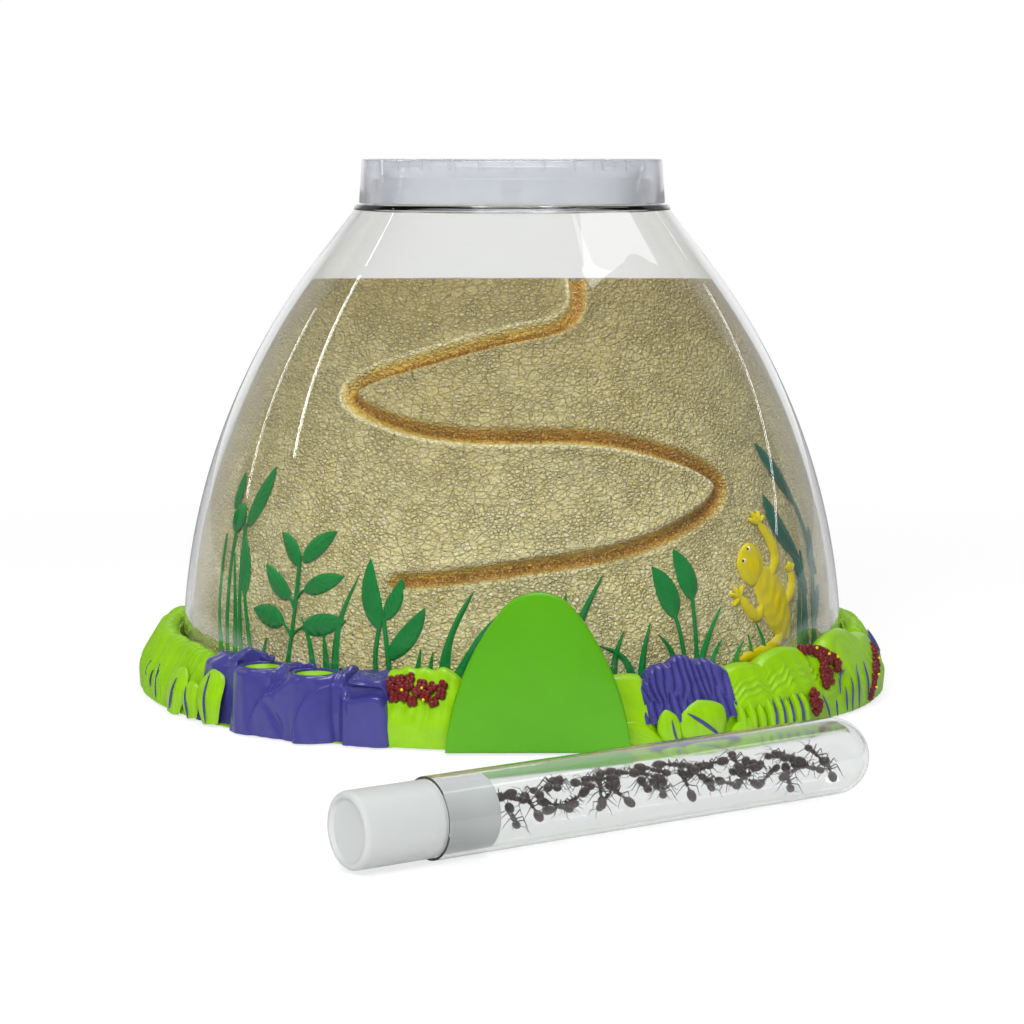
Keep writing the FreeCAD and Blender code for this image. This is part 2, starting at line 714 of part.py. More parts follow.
def make_twin_leaf():
    """Plant with one tall and two short leaves."""
    solids = [
        leaf((-22.0, 37.0), (-24.3, 60.0), 4.0),
        leaf((-21.0, 40.0), (-18.4, 54.2), 3.2),
        leaf((-20.4, 27.5), (-14.3, 44.4), 3.6),
        stem(((-22.3, 21.0), (-22.2, 30.0), (-21.8, 39.0))),
        stem(((-20.1, 21.0), (-20.6, 30.0), (-21.0, 39.5))),
    ]
    return group("twin_leaf_plant", solids)


def make_reeds():
    """Reeds at the left edge, with a round bud."""
    solids = [
        leaf((-60.4, 70.0), (-59.4, 84.0), 3.0),
        leaf((-55.0, 66.0), (-49.4, 88.0), 4.2),
        relief(on_core, ((-58.0, 63.0), (-57.4, 73.5)), 4.4, 1.9, 4, ROUND),
        leaf((-52.0, 42.5), (-54.9, 63.5), 4.0),
        stem(((-56.2, 20.5), (-57.6, 44.0), (-57.8, 65.0))),
        stem(((-51.8, 20.5), (-53.0, 36.0), (-55.0, 66.5))),
        stem(((-48.8, 20.5), (-50.5, 32.0), (-52.2, 44.0))),
        grass((-46.2, 21.0), (-45.6, 24.5), (-45.0, 29.0), half_width=1.1),
    ]
    return group("left_reeds", solids)


# grass blades in front, each from foot to tip
GRASS = (
    ((-15.5, 21.0), (-15.2, 25.0), (-14.8, 31.0)),
    ((-13.4, 21.0), (-13.1, 25.0), (-12.8, 29.5)),
    ((9.4, 25.0), (11.2, 40.3), (15.3, 55.6)),
    ((8.2, 40.0), (8.4, 44.0), (8.8, 49.5)),
    ((16.5, 21.0), (16.9, 28.0), (18.4, 36.2)),
    ((19.4, 21.0), (18.0, 27.0), (14.0, 31.6)),
    ((21.3, 21.0), (21.8, 28.0), (23.0, 38.0)),
    ((26.9, 21.0), (26.4, 27.0), (24.6, 34.3)),
)
BROAD_GRASS = (
    ((-10.9, 20.5), (-10.0, 34.0), (-6.4, 50.4)),
    ((-8.6, 20.5), (-5.8, 32.7), (0.4, 47.4)),
)


def make_grass():
    """Loose blades of grass along the front of the mountain."""
    solids = [grass(*spots) for spots in GRASS]
    solids += [grass(*spots, half_width=2.2) for spots in BROAD_GRASS]
    return group("grass_blades", solids)


def make_bulb_plant():
    """Two drop-shaped leaves on tall stems, right of the front."""
    solids = [
        leaf((27.6, 40.0), (24.4, 57.2), 4.6),
        leaf((31.2, 45.6), (28.6, 62.6), 4.3),
        stem(((29.0, 21.0), (28.8, 30.0), (27.5, 42.0))),
        stem(((31.4, 21.0), (31.5, 32.0), (31.2, 47.5))),
        grass((31.9, 21.0), (33.6, 30.0), (37.0, 41.5), half_width=1.5),
        grass((34.2, 21.0), (35.0, 25.0), (36.7, 30.0), half_width=1.1),
    ]
    return group("bulb_plant", solids)


def make_palm():
    """Palm at the right edge: two long leaves, a short one and a bundle of stems."""
    solids = [
        relief(on_core, ((54.2, 95.0), (58.6, 84.5), (63.0, 72.0)), 2.8, LEAF, 5),
        relief(on_core, ((52.0, 77.2), (54.9, 65.4), (60.2, 53.6)), 4.2, LEAF, 5),
        leaf((65.0, 49.0), (67.4, 63.0), 2.6),
        stem(((66.8, 46.0), (66.0, 56.0), (63.0, 73.0))),
        blade(on_core, ((59.8, 21.0), (60.4, 36.0), (61.4, 55.0)), 2.6, LEAF, 4),
        blade(on_core, ((63.2, 21.0), (64.0, 34.0), (66.0, 51.0)), 2.0, LEAF, 4),
    ]
    return group("palm_leaves", solids)


# ---------------------------------------------------------------- the gecko

def limb(*spots, half_width=1.9, thick=2.0):
    """A rounded limb of the gecko."""
    return relief(on_core, spots, half_width, thick, 4, ROUND, power=0.35)


def finger(hand, tip):
    """One short finger."""
    return relief(on_core, (hand, tip), 1.1, 1.2, 2, RIDGE, power=0.3)


def fan(hand, tips):
    """The fingers of one hand."""
    return [finger(hand, tip) for tip in tips]


def make_gecko():
    """Gecko that climbs on the mountain: head, body, limbs and a curled tail."""
    solids = [
        relief(on_core, ((44.6, 47.5), (45.2, 54.5), (44.8, 62.0)), 6.6, 2.7, 5, ROUND, power=0.5),
        relief(on_core, ((46.4, 53.5), (49.6, 43.0), (53.4, 26.5)), 8.0, 2.8, 6, ROUND, power=0.55),
        limb((50.0, 50.0), (52.4, 58.0), (50.4, 64.5), (48.7, 68.6)),
        limb((46.8, 41.0), (45.0, 37.0), (43.0, 40.5), (41.4, 44.4)),
        limb((53.0, 39.0), (56.4, 45.5), (56.2, 50.0), half_width=2.2),
        limb((52.0, 32.0), (49.6, 26.0), (45.0, 23.4), (40.4, 22.6), half_width=2.4),
    ]
    solids += fan((48.7, 68.0), ((46.9, 70.6), (48.9, 72.2), (50.6, 70.8)))
    solids += fan((41.6, 44.0), ((39.6, 45.8), (41.8, 48.0), (39.9, 41.2)))
    solids += fan((56.3, 49.4), ((55.2, 52.4), (57.2, 52.6)))
    piece = group("gecko", solids)
    for socket in eye_beads(value("eye_radius + rock_gap/3")):
        piece.Shape = piece.Shape.cut(socket)
    return piece


def bead(centre, radius):
    """A low-faceted round bead: two rings of five points and two poles."""
    points = [centre + Vector(0, 0, radius)]
    for tier, level in ((0.0, 0.447), (0.5, -0.447)):
        reach = radius * math.sqrt(1 - level ** 2)
        for step in range(5):
            turn = 2 * math.pi * (step + tier) / 5
            points.append(centre + Vector(reach * math.cos(turn), reach * math.sin(turn), radius * level))
    points.append(centre - Vector(0, 0, radius))
    triangles = []
    for step in range(5):
        following = (step + 1) % 5
        triangles.append((0, 1 + step, 1 + following))
        triangles.append((1 + step, 6 + step, 1 + following))
        triangles.append((1 + following, 6 + step, 6 + following))
        triangles.append((11, 6 + following, 6 + step))
    return facet_solid(points, triangles)


# azimuth and height of the two eyes
EYES = ((44.3, 60.0), (43.0, 56.0))


def eye_beads(radius):
    """Both eyes with a given radius."""
    lift = value("eye_lift")
    return [bead(on_core(azimuth, height * UNIT, lift), radius) for azimuth, height in EYES]


def make_eyes():
    """The gecko's two eyes, each in its socket."""
    return group("gecko_eyes", eye_beads(value("eye_radius")))


# ---------------------------------------------------------------- the ring's relief

def bank_blade(azimuth, foot, tip, lean, half_width, thick):
    """A blade of grass on the ring's bank."""
    spots = ((azimuth, foot), (azimuth + 0.3 * lean, (foot + tip) / 2), (azimuth + lean, tip))
    return blade(on_ring, spots, half_width, thick, 3)


def make_grass_bank():
    """Tufts of upright grass on the left and right of the ring."""
    solids = []
    tops = (16.0, 18.5, 15.0, 19.0, 17.0)
    starts = [-100.0 + 4.0 * step for step in range(9)] + [81.0 + 4.0 * step for step in range(6)]
    for step, azimuth in enumerate(starts):
        solids.append(bank_blade(azimuth, 0.6, tops[step % len(tops)], 1.2, 3.4, 1.6))
    return group("grass_bank", solids)


def make_bank_leaves():
    """Broad leaves that lie on the ring's bank, left and right."""
    solids = [
        relief(on_ring, ((-52.9, 1.0), (-53.0, 9.0), (-52.8, 18.0)), 5.2, 2.2, 4, ROUND),
        relief(on_ring, ((-57.6, 1.0), (-57.4, 6.0), (-57.0, 11.5)), 2.6, 1.6, 4, ROUND),
        relief(on_ring, ((-62.2, 1.0), (-62.0, 8.0), (-61.0, 15.5)), 4.6, 1.8, 4, ROUND),
        relief(on_ring, ((21.0, 2.5), (25.5, 5.5), (31.0, 10.5)), 3.4, 2.2, 4, ROUND),
        relief(on_ring, ((32.4, 1.5), (35.0, 5.5), (39.4, 10.8)), 3.4, 2.2, 4, ROUND),
        relief(on_ring, ((43.6, 1.5), (45.2, 6.0), (48.0, 11.5)), 3.4, 2.0, 4, ROUND),
    ]
    return group("bank_leaves", solids)


def lobe(azimuth, foot, top, half_width):
    """A rounded upright lobe of foliage on the ring."""
    spots = ((azimuth, foot), (azimuth, (foot + top) / 2), (azimuth, top))
    thick = value("shrub_thick / relief_unit")
    return relief(on_ring, spots, half_width, thick, 4, ROUND, power=0.4)


# azimuth, foot, top and half width of each lobe
SHRUBS = (
    (-15.0, 1.0, 25.4, 5.2), (-11.6, 1.0, 26.4, 5.4), (-8.6, 1.0, 25.6, 4.4),
    (16.6, 1.0, 24.4, 5.2), (36.2, 13.4, 24.6, 4.6), (39.4, 13.4, 26.0, 4.8), (42.8, 13.4, 24.4, 4.6),
    (46.2, 13.4, 26.8, 4.8), (49.8, 13.4, 26.0, 4.6), (54.4, 1.0, 24.0, 5.6), (60.2, 1.0, 27.0, 6.2),
    (65.0, 1.0, 25.4, 6.2), (70.0, 1.0, 22.0, 6.0), (75.4, 1.0, 19.0, 5.6),
)


def make_shrubs():
    """Lobed green shrubs beside the shield and on the right."""
    return group("green_shrubs", [lobe(*shrub) for shrub in SHRUBS])


def make_fern():
    """Purple fern: upright fronds side by side in a fan."""
    fronds = 8
    middle = (fronds - 1) / 2
    solids = []
    for step in range(fronds):
        droop = 0.25 * (step - middle) ** 2
        solids.append(lobe(20.8 + 1.7 * step, 15.6 - droop / 2, 28.4 - droop, 2.5))
    return group("purple_fern", solids)


def berries(label, spots):
    """A cluster of round berries over the lobes."""
    lift, radius = value("berry_lift"), value("berry_radius")
    return group(label, [bead(on_ring(azimuth, height * UNIT, lift), radius) for azimuth, height in spots])


def berry_rows(azimuth, height, across, up, slant):
    """Azimuth and height of berries in staggered rows, with the rows' slant in degrees."""
    return [
        (azimuth + 1.35 * column + 0.6 * (row % 2) + slant * row, height + 2.9 * row)
        for row in range(up)
        for column in range(across)
    ]


def make_rock():
    """Rock outcrop: faceted block in the ring's bay with two tube sockets."""
    shelf = polar_block("rock_block")
    knobs = []
    bores = []
    for name in ("socket_left", "socket_right"):
        spot = polar(value(name), value("socket_circle"), 0)
        knob = DOCUMENT.addObject("Part::Cone", f"{name}_knob")
        knob.Radius1 = value("socket_radius + 1.7*socket_wall")
        knob.setExpression("Radius1", formula("socket_radius + 1.7*socket_wall"))
        knob.Radius2 = value("socket_radius + socket_wall")
        knob.setExpression("Radius2", formula("socket_radius + socket_wall"))
        knob.Height = value("socket_rim - rock_height/2")
        knob.setExpression("Height", formula("socket_rim - rock_height/2"))
        knob.Placement = Placement(spot + Vector(0, 0, value("rock_height/2")), Rotation())
        knobs.append(knob)
        bore = DOCUMENT.addObject("Part::Cylinder", f"{name}_bore")
        bore.Radius = value("socket_radius")
        bore.setExpression("Radius", formula("socket_radius"))
        bore.Height = value("socket_depth + rock_height")
        bore.setExpression("Height", formula("socket_depth + rock_height"))
        bore.Placement = Placement(spot + Vector(0, 0, value("socket_rim - socket_depth")), Rotation())
        bores.append(bore)
    mass = DOCUMENT.addObject("Part::MultiFuse", "rock_mass")
    mass.Shapes = [shelf] + knobs
    inside = DOCUMENT.addObject("Part::Feature", "rock_limits")
    inside.Shape = bay_space()
    trimmed = DOCUMENT.addObject("Part::Common", "rock_trimmed")
    trimmed.Base = mass
    trimmed.Tool = inside
    sockets = DOCUMENT.addObject("Part::MultiFuse", "socket_bores")
    sockets.Shapes = bores
    rock = DOCUMENT.addObject("Part::Cut", "rock_outcrop")
    rock.Base = trimmed
    rock.Tool = sockets
    rock.Label = "rock_outcrop"
    rock.Placement = Placement()
    DOCUMENT.recompute()
    return rock


def polar_block(name):
    """Faceted block: a foot outline and a smaller shelf outline joined by flat faces."""
    start, end = value("rock_start"), value("rock_end")
    inner = value("ring_inner")
    outer = value("ring_outer + rock_stand")
    # share of the way along the rock, how far the foot and the shelf step in
    steps = ((0.0, 2.6, 5.4), (0.2, 0.0, 4.0), (0.3, 2.4, 5.6), (0.5, 2.0, 3.6),
             (0.66, 0.0, 2.8), (0.84, 1.6, 5.0), (1.0, 2.4, 6.0))
    foot, shelf = [], []
    for share, foot_in, shelf_in in steps:
        azimuth = start + share * (end - start)
        foot.append(polar(azimuth, outer - foot_in * UNIT, 0))
        shelf.append(polar(azimuth, outer - shelf_in * UNIT, value("rock_height")))
    for share in (1.0, 0.5, 0.0):
        azimuth = start + share * (end - start)
        foot.append(polar(azimuth, inner, 0))
        shelf.append(polar(azimuth, inner, value("rock_height")))
    wires = [Part.makePolygon(ring + ring[:1]) for ring in (foot, shelf)]
    block = DOCUMENT.addObject("Part::Feature", name)
    block.Shape = Part.makeLoft(wires, True, True)
    return block


def bay_space():
    """The space that the rock may fill: the bay, clear of the ring's ends, the pan and the dome."""
    gap = value("rock_gap")
    inner = value("ring_inner + rock_gap")
    middle = value("flange_outer + rock_gap")
    low = value("pan_rim + rock_gap")
    outer = value("ring_outer + ring_reach")
    top = value("socket_rim + 2*socket_wall")
    shelf = value("flange_top + rock_gap")
    deck = value("pan_flange_top + rock_gap")
    corners = [
        Vector(low, 0, 0), Vector(outer, 0, 0), Vector(outer, 0, top),
        Vector(inner, 0, top), Vector(inner, 0, shelf), Vector(middle, 0, shelf),
        Vector(middle, 0, deck), Vector(low, 0, deck),
    ]
    face = Part.Face(Part.makePolygon(corners + corners[:1]))
    margin = math.degrees(gap / outer)
    face.rotate(Vector(), Vector(0, 0, 1), value("rock_start") - 90 + margin)
    return face.revolve(Vector(), Vector(0, 0, 1), value("rock_end - rock_start") - 2 * margin)


def make_shield():
    """Front shield: an arched plate with a chamfered edge and a boss against the ring."""
    body = new_body("shield_plate")
    sketch = sketch_on(body, "XZ_Plane", "ring_outer + shield_stand - shield_thick")
    corners = (
        ("-shield_half_width", "0"),
        ("shield_half_width", "0"),
        ("shield_crown_half", "shield_height - shield_crown_drop"),
        ("-shield_crown_half", "shield_height - shield_crown_drop"),
    )
    sides = "shield_side_radius"
    draw_outline(sketch, corners, {1: sides, 2: "shield_crown_radius", 3: sides})
    plate = pad(body, sketch, "shield_thick")
    edging = body.newObject("PartDesign::Chamfer", "shield_edging")
    front = min(face.CenterOfMass.y for face in plate.Shape.Faces)
    edges = [
        f"Edge{number}"
        for number, edge in enumerate(plate.Shape.Edges, 1)
        if abs(edge.BoundBox.YMin - front) < 0.01 and abs(edge.BoundBox.YMax - front) < 0.01
        and edge.BoundBox.ZMax > 1.0
    ]
    edging.Base = (plate, edges)
    edging.Size = value("shield_edge")
    edging.setExpression("Size", formula("shield_edge"))
    boss_sketch = sketch_on(body, "XZ_Plane", "ring_outer - ring_reach")
    boss_corners = (
        ("-shield_boss_half", "0"),
        ("shield_boss_half", "0"),
        ("shield_boss_half", "shield_boss_height"),
        ("-shield_boss_half", "shield_boss_height"),
    )
    draw_outline(boss_sketch, boss_corners)
    pad(body, boss_sketch, "ring_reach + shield_stand - shield_thick/2")
    body.setExpression("Placement.Base.x", formula("shield_x"))
    clear = DOCUMENT.addObject("Part::Cylinder", "ring_clear")
    clear.Radius = value("ring_outer + rock_gap")
    clear.setExpression("Radius", formula("ring_outer + rock_gap"))
    clear.Height = value("2*shield_height")
    clear.setExpression("Height", formula("2*shield_height"))
    shield = DOCUMENT.addObject("Part::Cut", "front_shield")
    shield.Base = body
    shield.Tool = clear
    shield.Label = "front_shield"
    shield.Placement = Placement()
    DOCUMENT.recompute()
    return shield


# ---------------------------------------------------------------- the ant tube

def tube_place():
    """Where the tube lies: its own X axis runs from the stopper to the round end."""
    turn = Rotation(Vector(0, 0, 1), value("tube_yaw"))
    middle = Vector(value("tube_x"), -value("ring_outer + tube_gap"), value("tube_radius"))
    return Placement(middle - turn.multVec(Vector(value("tube_length / 2"), 0, 0)), turn)


def lay_on_ground(piece):
    """Put a piece that is drawn along X where the tube lies, and keep it tied there."""
    piece.Placement = tube_place()
    half = "tube_length / 2"
    piece.setExpression("Placement.Base.x", formula(f"tube_x - {half} * cos(tube_yaw)"))
    piece.setExpression("Placement.Base.y", formula(f"-(ring_outer + tube_gap) - {half} * sin(tube_yaw)"))
    piece.setExpression("Placement.Base.z", formula("tube_radius"))


def make_tube():
    """Clear tube with a round closed end."""
    body = new_body("ant_tube")
    corners = (
        ("knob_length", "tube_radius"),
        ("tube_length - tube_radius", "tube_radius"),
        ("tube_length", "0"),
        ("tube_length - tube_wall", "0"),
        ("tube_length - tube_radius", "tube_radius - tube_wall"),
        ("knob_length", "tube_radius - tube_wall"),
    )
    revolve(body, corners, {1: "-tube_radius", 3: "tube_radius - tube_wall"}, axis="H_Axis")
    lay_on_ground(body)
    return body


def make_stopper():
    """Push-in stopper: hollow ribbed knob outside the tube and a plug inside it."""
    body = new_body("tube_stopper")
    corners = (
        ("0", "0"),
        ("0", "knob_radius"),
        ("knob_length - plug_play", "knob_radius"),
        ("knob_length - plug_play", "tube_radius - tube_wall - plug_play"),
        ("plug_end", "tube_radius - tube_wall - plug_play"),
        ("plug_end", "tube_radius - tube_wall - plug_play - knob_wall"),
        ("knob_wall", "tube_radius - tube_wall - plug_play - knob_wall"),
        ("knob_wall", "0"),
    )
    revolve(body, corners, axis="H_Axis")
    grip_sketch = sketch_on(body, "YZ_Plane", "knob_wall")
    grip_corners = (
        ("knob_radius - knob_wall/2", "-grip_height"),
        ("knob_radius + grip_height", "-grip_height"),
        ("knob_radius + grip_height", "grip_height"),
        ("knob_radius - knob_wall/2", "grip_height"),
    )
    draw_outline(grip_sketch, grip_corners)
    grip = pad(body, grip_sketch, "knob_length - 3*knob_wall")
    repeat_round(body, grip, grip_sketch, "grip_count")
    lay_on_ground(body)
    return body


# an ant along its length: share of the length, half width, half height
ANT_SECTIONS = (
    (0.10, 0.11, 0.09), (0.24, 0.04, 0.04), (0.38, 0.08, 0.09), (0.54, 0.03, 0.03), (0.76, 0.13, 0.13),
)


def ant(place):
    """One ant: head, waist and abdomen as one faceted body, feet left out."""
    length = value("ant_length")
    points = [Vector()]
    for share, half_width, half_height in ANT_SECTIONS:
        for side in range(4):
            turn = math.pi / 4 + side * math.pi / 2
            across = half_width * math.cos(turn)
            up = half_height * math.sin(turn)
            points.append(Vector(share, across, up) * length)
    points.append(Vector(length, 0, 0))
    solid = skin_sections([place.multVec(point) for point in points], 4, len(ANT_SECTIONS))
    return solid


def make_ants():
    """Ants in lanes round the lower side of the tube, head to tail."""
    solids = []
    count = int(value("ant_count"))
    lanes = int(value("ant_lanes"))
    first = value("plug_end + ant_length/4")
    pitch = (value("tube_length - tube_radius") - first) / count
    reach = value("tube_radius - tube_wall - 0.15*ant_length - leaf_seat")
    tube = tube_place()
    for lane in range(lanes):
        turn = math.radians(-150.0 + 120.0 * lane / max(1, lanes - 1))
        for step in range(count):
            along = first + pitch * (step + 0.15 * (lane % 2))
            spot = Vector(along, reach * math.cos(turn), reach * math.sin(turn))
            solids.append(ant(tube.multiply(Placement(spot, Rotation()))))
    return group("ants", solids)


# ---------------------------------------------------------------- build and export

BUILDERS = (
    make_pan, make_mountain, make_dome, make_ring, make_screws, make_lid, make_rock, make_shield,
    make_sprig, make_twin_leaf, make_reeds, make_grass, make_bulb_plant, make_palm, make_gecko, make_eyes,
    make_grass_bank, make_bank_leaves, make_shrubs, make_fern,
    lambda: berries("front_berries", berry_rows(-16.2, 14.4, 6, 3, 0.2)),
    lambda: berries("right_berries", berry_rows(51.6, 7.0, 3, 6, 0.2)),
    lambda: berries("side_berries", berry_rows(74.6, 4.4, 2, 4, 0.0)),
    make_tube, make_stopper, make_ants,
)


def check_document():
    """Stop if any object failed or any sub-part isn't a sound solid."""
    for item in DOCUMENT.Objects:
        if "Invalid" in item.State or "Error" in item.State:
            raise RuntimeError(f"{item.Label}: {item.State}")


def export(pieces):
    """Write each sub-part to its own STEP file."""
    os.makedirs("parts", exist_ok=True)
    for piece in pieces:
        shape = piece.Shape
        if shape.isNull() or not shape.isValid():
            raise RuntimeError(f"{piece.Label} is not a valid shape")
        shape.exportStep(f"parts/{piece.Label}.step")


PIECES = [build() for build in BUILDERS]
DOCUMENT.recompute()
check_document()
export(PIECES)
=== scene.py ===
"""Ant habitat: clear bell dome over a sand mountain, a green base ring, and a tube of ants."""
import json
import math

import bpy
import numpy as np
from mathutils import Matrix, Vector

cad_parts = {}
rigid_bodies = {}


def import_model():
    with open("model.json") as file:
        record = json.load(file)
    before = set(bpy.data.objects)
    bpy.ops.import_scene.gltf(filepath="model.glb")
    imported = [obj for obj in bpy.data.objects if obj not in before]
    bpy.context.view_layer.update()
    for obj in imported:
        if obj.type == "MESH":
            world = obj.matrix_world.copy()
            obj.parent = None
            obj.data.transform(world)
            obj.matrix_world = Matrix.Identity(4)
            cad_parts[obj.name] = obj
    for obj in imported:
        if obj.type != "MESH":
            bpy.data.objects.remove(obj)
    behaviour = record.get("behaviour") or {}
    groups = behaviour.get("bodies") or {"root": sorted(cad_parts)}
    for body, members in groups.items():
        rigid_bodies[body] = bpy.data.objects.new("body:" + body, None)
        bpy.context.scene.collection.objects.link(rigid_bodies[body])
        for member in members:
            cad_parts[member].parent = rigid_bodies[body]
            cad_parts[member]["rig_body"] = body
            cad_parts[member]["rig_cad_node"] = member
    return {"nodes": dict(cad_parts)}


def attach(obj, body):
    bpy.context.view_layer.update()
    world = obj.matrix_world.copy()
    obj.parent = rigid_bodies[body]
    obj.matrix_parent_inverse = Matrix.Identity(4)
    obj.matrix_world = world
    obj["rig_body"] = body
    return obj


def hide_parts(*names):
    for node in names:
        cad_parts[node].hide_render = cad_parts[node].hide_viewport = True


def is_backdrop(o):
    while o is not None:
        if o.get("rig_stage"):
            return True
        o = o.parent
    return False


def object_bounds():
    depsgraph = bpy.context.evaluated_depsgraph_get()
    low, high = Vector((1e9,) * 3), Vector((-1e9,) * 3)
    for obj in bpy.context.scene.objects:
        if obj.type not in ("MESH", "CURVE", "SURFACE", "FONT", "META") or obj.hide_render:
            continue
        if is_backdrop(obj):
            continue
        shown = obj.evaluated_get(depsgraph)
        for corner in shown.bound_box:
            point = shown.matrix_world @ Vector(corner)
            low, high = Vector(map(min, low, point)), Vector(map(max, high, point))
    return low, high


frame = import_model()
CAD_BOX = [list(corner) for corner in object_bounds()]

bl_info = {
    "name": "Ant habitat",
    "version": (1, 0, 0),
    "blender": (4, 5, 0),
    "location": "View3D > Sidebar > Ant habitat",
    "description": "Builds the dressed pieces of an ant habitat over its CAD frame",
    "category": "Add Mesh",
}

MM = 0.001

# ---------------------------------------------------------------- shapes as whole arrays


def sheet_grid(points, wrap_along=False):
    """One closed skin over a grid of points whose rows are rings, with quads between neighbours.
    The last row joins the first where wrap_along is true; if not, a fan to its middle closes
    the first and the last row. The skin is turned so that it faces out."""
    along, around = points.shape[:2]
    index = np.arange(along * around).reshape(along, around)
    if wrap_along:
        index = np.vstack([index, index[:1]])
    index = np.hstack([index, index[:, :1]])
    corners = (index[:-1, :-1], index[1:, :-1], index[1:, 1:], index[:-1, 1:])
    quads = np.stack(corners, axis=-1).reshape(-1, 4)
    verts = points.reshape(-1, 3)
    tris = np.zeros((0, 3), int)
    if not wrap_along:
        for row, first, second in ((0, slice(None, -1), slice(1, None)),
                                   (-1, slice(1, None), slice(None, -1))):
            rim = index[row]
            middle = np.full(len(rim) - 1, len(verts))
            tris = np.vstack([tris, np.stack([rim[first], rim[second], middle], axis=-1)])
            verts = np.vstack([verts, points[row].mean(axis=0)])
    halves = np.concatenate([quads[:, (0, 1, 2)], quads[:, (0, 2, 3)], tris])
    low, mid, high = (verts[halves[:, i]] - verts.mean(axis=0) for i in range(3))
    if np.einsum("ij,ij->", low, np.cross(mid, high)) < 0:
        quads, tris = quads[:, ::-1], tris[:, ::-1]
    return verts, quads, tris


def make_piece(name, skins, role, body, stands_for=(), crisp=None, marks=None):
    """One object from several closed skins in millimetres, in the material of a role, riding
    on a body of the frame. Edges above crisp degrees stay sharp, and marks holds named values
    for each vertex."""
    counts = [len(verts) for verts, _, _ in skins]
    starts = np.concatenate([[0], np.cumsum(counts)[:-1]]).astype(int)
    verts = np.concatenate([skin[0] for skin in skins]) * MM
    quads = np.concatenate([skin[1] + start for skin, start in zip(skins, starts)])
    tris = np.concatenate([skin[2] + start for skin, start in zip(skins, starts)])
    loops = np.concatenate([quads.ravel(), tris.ravel()]).astype(np.int32)
    quad_starts = np.arange(len(quads)) * 4
    tri_starts = len(quads) * 4 + np.arange(len(tris)) * 3
    mesh = bpy.data.meshes.new(name)
    mesh.vertices.add(len(verts))
    mesh.vertices.foreach_set("co", verts.ravel())
    mesh.loops.add(len(loops))
    mesh.loops.foreach_set("vertex_index", loops)
    mesh.polygons.add(len(quads) + len(tris))
    starts_all = np.concatenate([quad_starts, tri_starts]).astype(np.int32)
    mesh.polygons.foreach_set("loop_start", starts_all)
    mesh.update(calc_edges=True)
    mesh.validate()
    mesh.shade_smooth()
    if crisp is not None:
        mesh.set_sharp_from_angle(angle=math.radians(crisp))
    for mark, values in (marks or {}).items():
        mesh.attributes.new(mark, "FLOAT", "POINT").data.foreach_set("value", values)
    piece = bpy.data.objects.new(name, mesh)
    bpy.context.scene.collection.objects.link(piece)
    mesh.materials.append(material(role))
    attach(piece, body)
    if stands_for:
        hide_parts(*stands_for)


def all_round(steps):
    """Angles in equal steps once round a circle."""
    return np.linspace(0.0, 2.0 * math.pi, steps, endpoint=False)


def round_points(radius, turn, height):
    """Points at a radius, an angle in radians from the front and a height about the axis."""
    return np.stack([radius * np.sin(turn), -radius * np.cos(turn), height + 0.0 * turn], axis=-1)


def turned(profile, steps):
    """A closed outline of radius and height carried round the upright axis."""
    turn = all_round(steps)[:, None]
    radius, height = profile[None, :, 0], profile[None, :, 1]
    return sheet_grid(round_points(radius, turn, height), wrap_along=True)


def soften(corners, radius, steps=4):
    """A closed outline with each corner replaced by a parabola that starts a radius before it."""
    corners = np.asarray(corners, float)
    before = np.roll(corners, 1, axis=0) - corners
    after = np.roll(corners, -1, axis=0) - corners
    run_in = np.linalg.norm(before, axis=1)
    run_out = np.linalg.norm(after, axis=1)
    reach = np.broadcast_to(np.asarray(radius, float), run_in.shape)
    reach = np.minimum(reach, 0.45 * np.minimum(run_in, run_out))[:, None]
    first = (corners + before / run_in[:, None] * reach)[:, None]
    last = (corners + after / run_out[:, None] * reach)[:, None]
    share = np.linspace(0.0, 1.0, steps + 1)[None, :, None]
    curve = ((1 - share) ** 2 * first + 2 * share * (1 - share) * corners[:, None]
             + share ** 2 * last)
    return curve.reshape(-1, 2)


def smooth_way(spots, count):
    """Points and their directions along the natural cubic spline through a few spots, where the
    spline's parameter is the chord length run so far."""
    spots = np.asarray(spots, float)
    chords = np.linalg.norm(np.diff(spots, axis=0), axis=1)
    knots = np.concatenate([[0.0], np.cumsum(chords)])
    many = len(spots)
    matrix = np.eye(many)
    right = np.zeros_like(spots)
    inner = np.arange(1, many - 1)
    matrix[inner, inner - 1] = chords[:-1]
    matrix[inner, inner] = 2 * (chords[:-1] + chords[1:])
    matrix[inner, inner + 1] = chords[1:]
    slopes = np.diff(spots, axis=0) / chords[:, None]
    right[1:-1] = 6 * np.diff(slopes, axis=0)
    bend = np.linalg.solve(matrix, right)
    at = np.linspace(0.0, knots[-1], count)
    piece = np.clip(np.searchsorted(knots, at, side="right") - 1, 0, many - 2)
    gap = chords[piece][:, None]
    low = (knots[piece + 1] - at)[:, None]
    high = (at - knots[piece])[:, None]
    start, end = spots[piece], spots[piece + 1]
    bend_start, bend_end = bend[piece], bend[piece + 1]
    points = ((bend_start * low ** 3 + bend_end * high ** 3) / (6 * gap)
              + (start / gap - bend_start * gap / 6) * low
              + (end / gap - bend_end * gap / 6) * high)
    ways = ((bend_end * high ** 2 - bend_start * low ** 2) / (2 * gap)
            + (end - start) / gap - (bend_end - bend_start) * gap / 6)
    return points, ways


# ---------------------------------------------------------------- the round grounds

BELL_RADIUS, BELL_OFFSET, BELL_HEIGHT = 245.0, 119.9, 8.9
CORE_INSET = 3.3
RING_OUTER, RING_BANK, RING_TOP, RING_INNER = 140.0, 9.0, 20.0, 126.2
RING_SLOPE = 7.0 / 11.0
SCALE = 2.1  # millimetres per degree along the ground, at about the plants' height


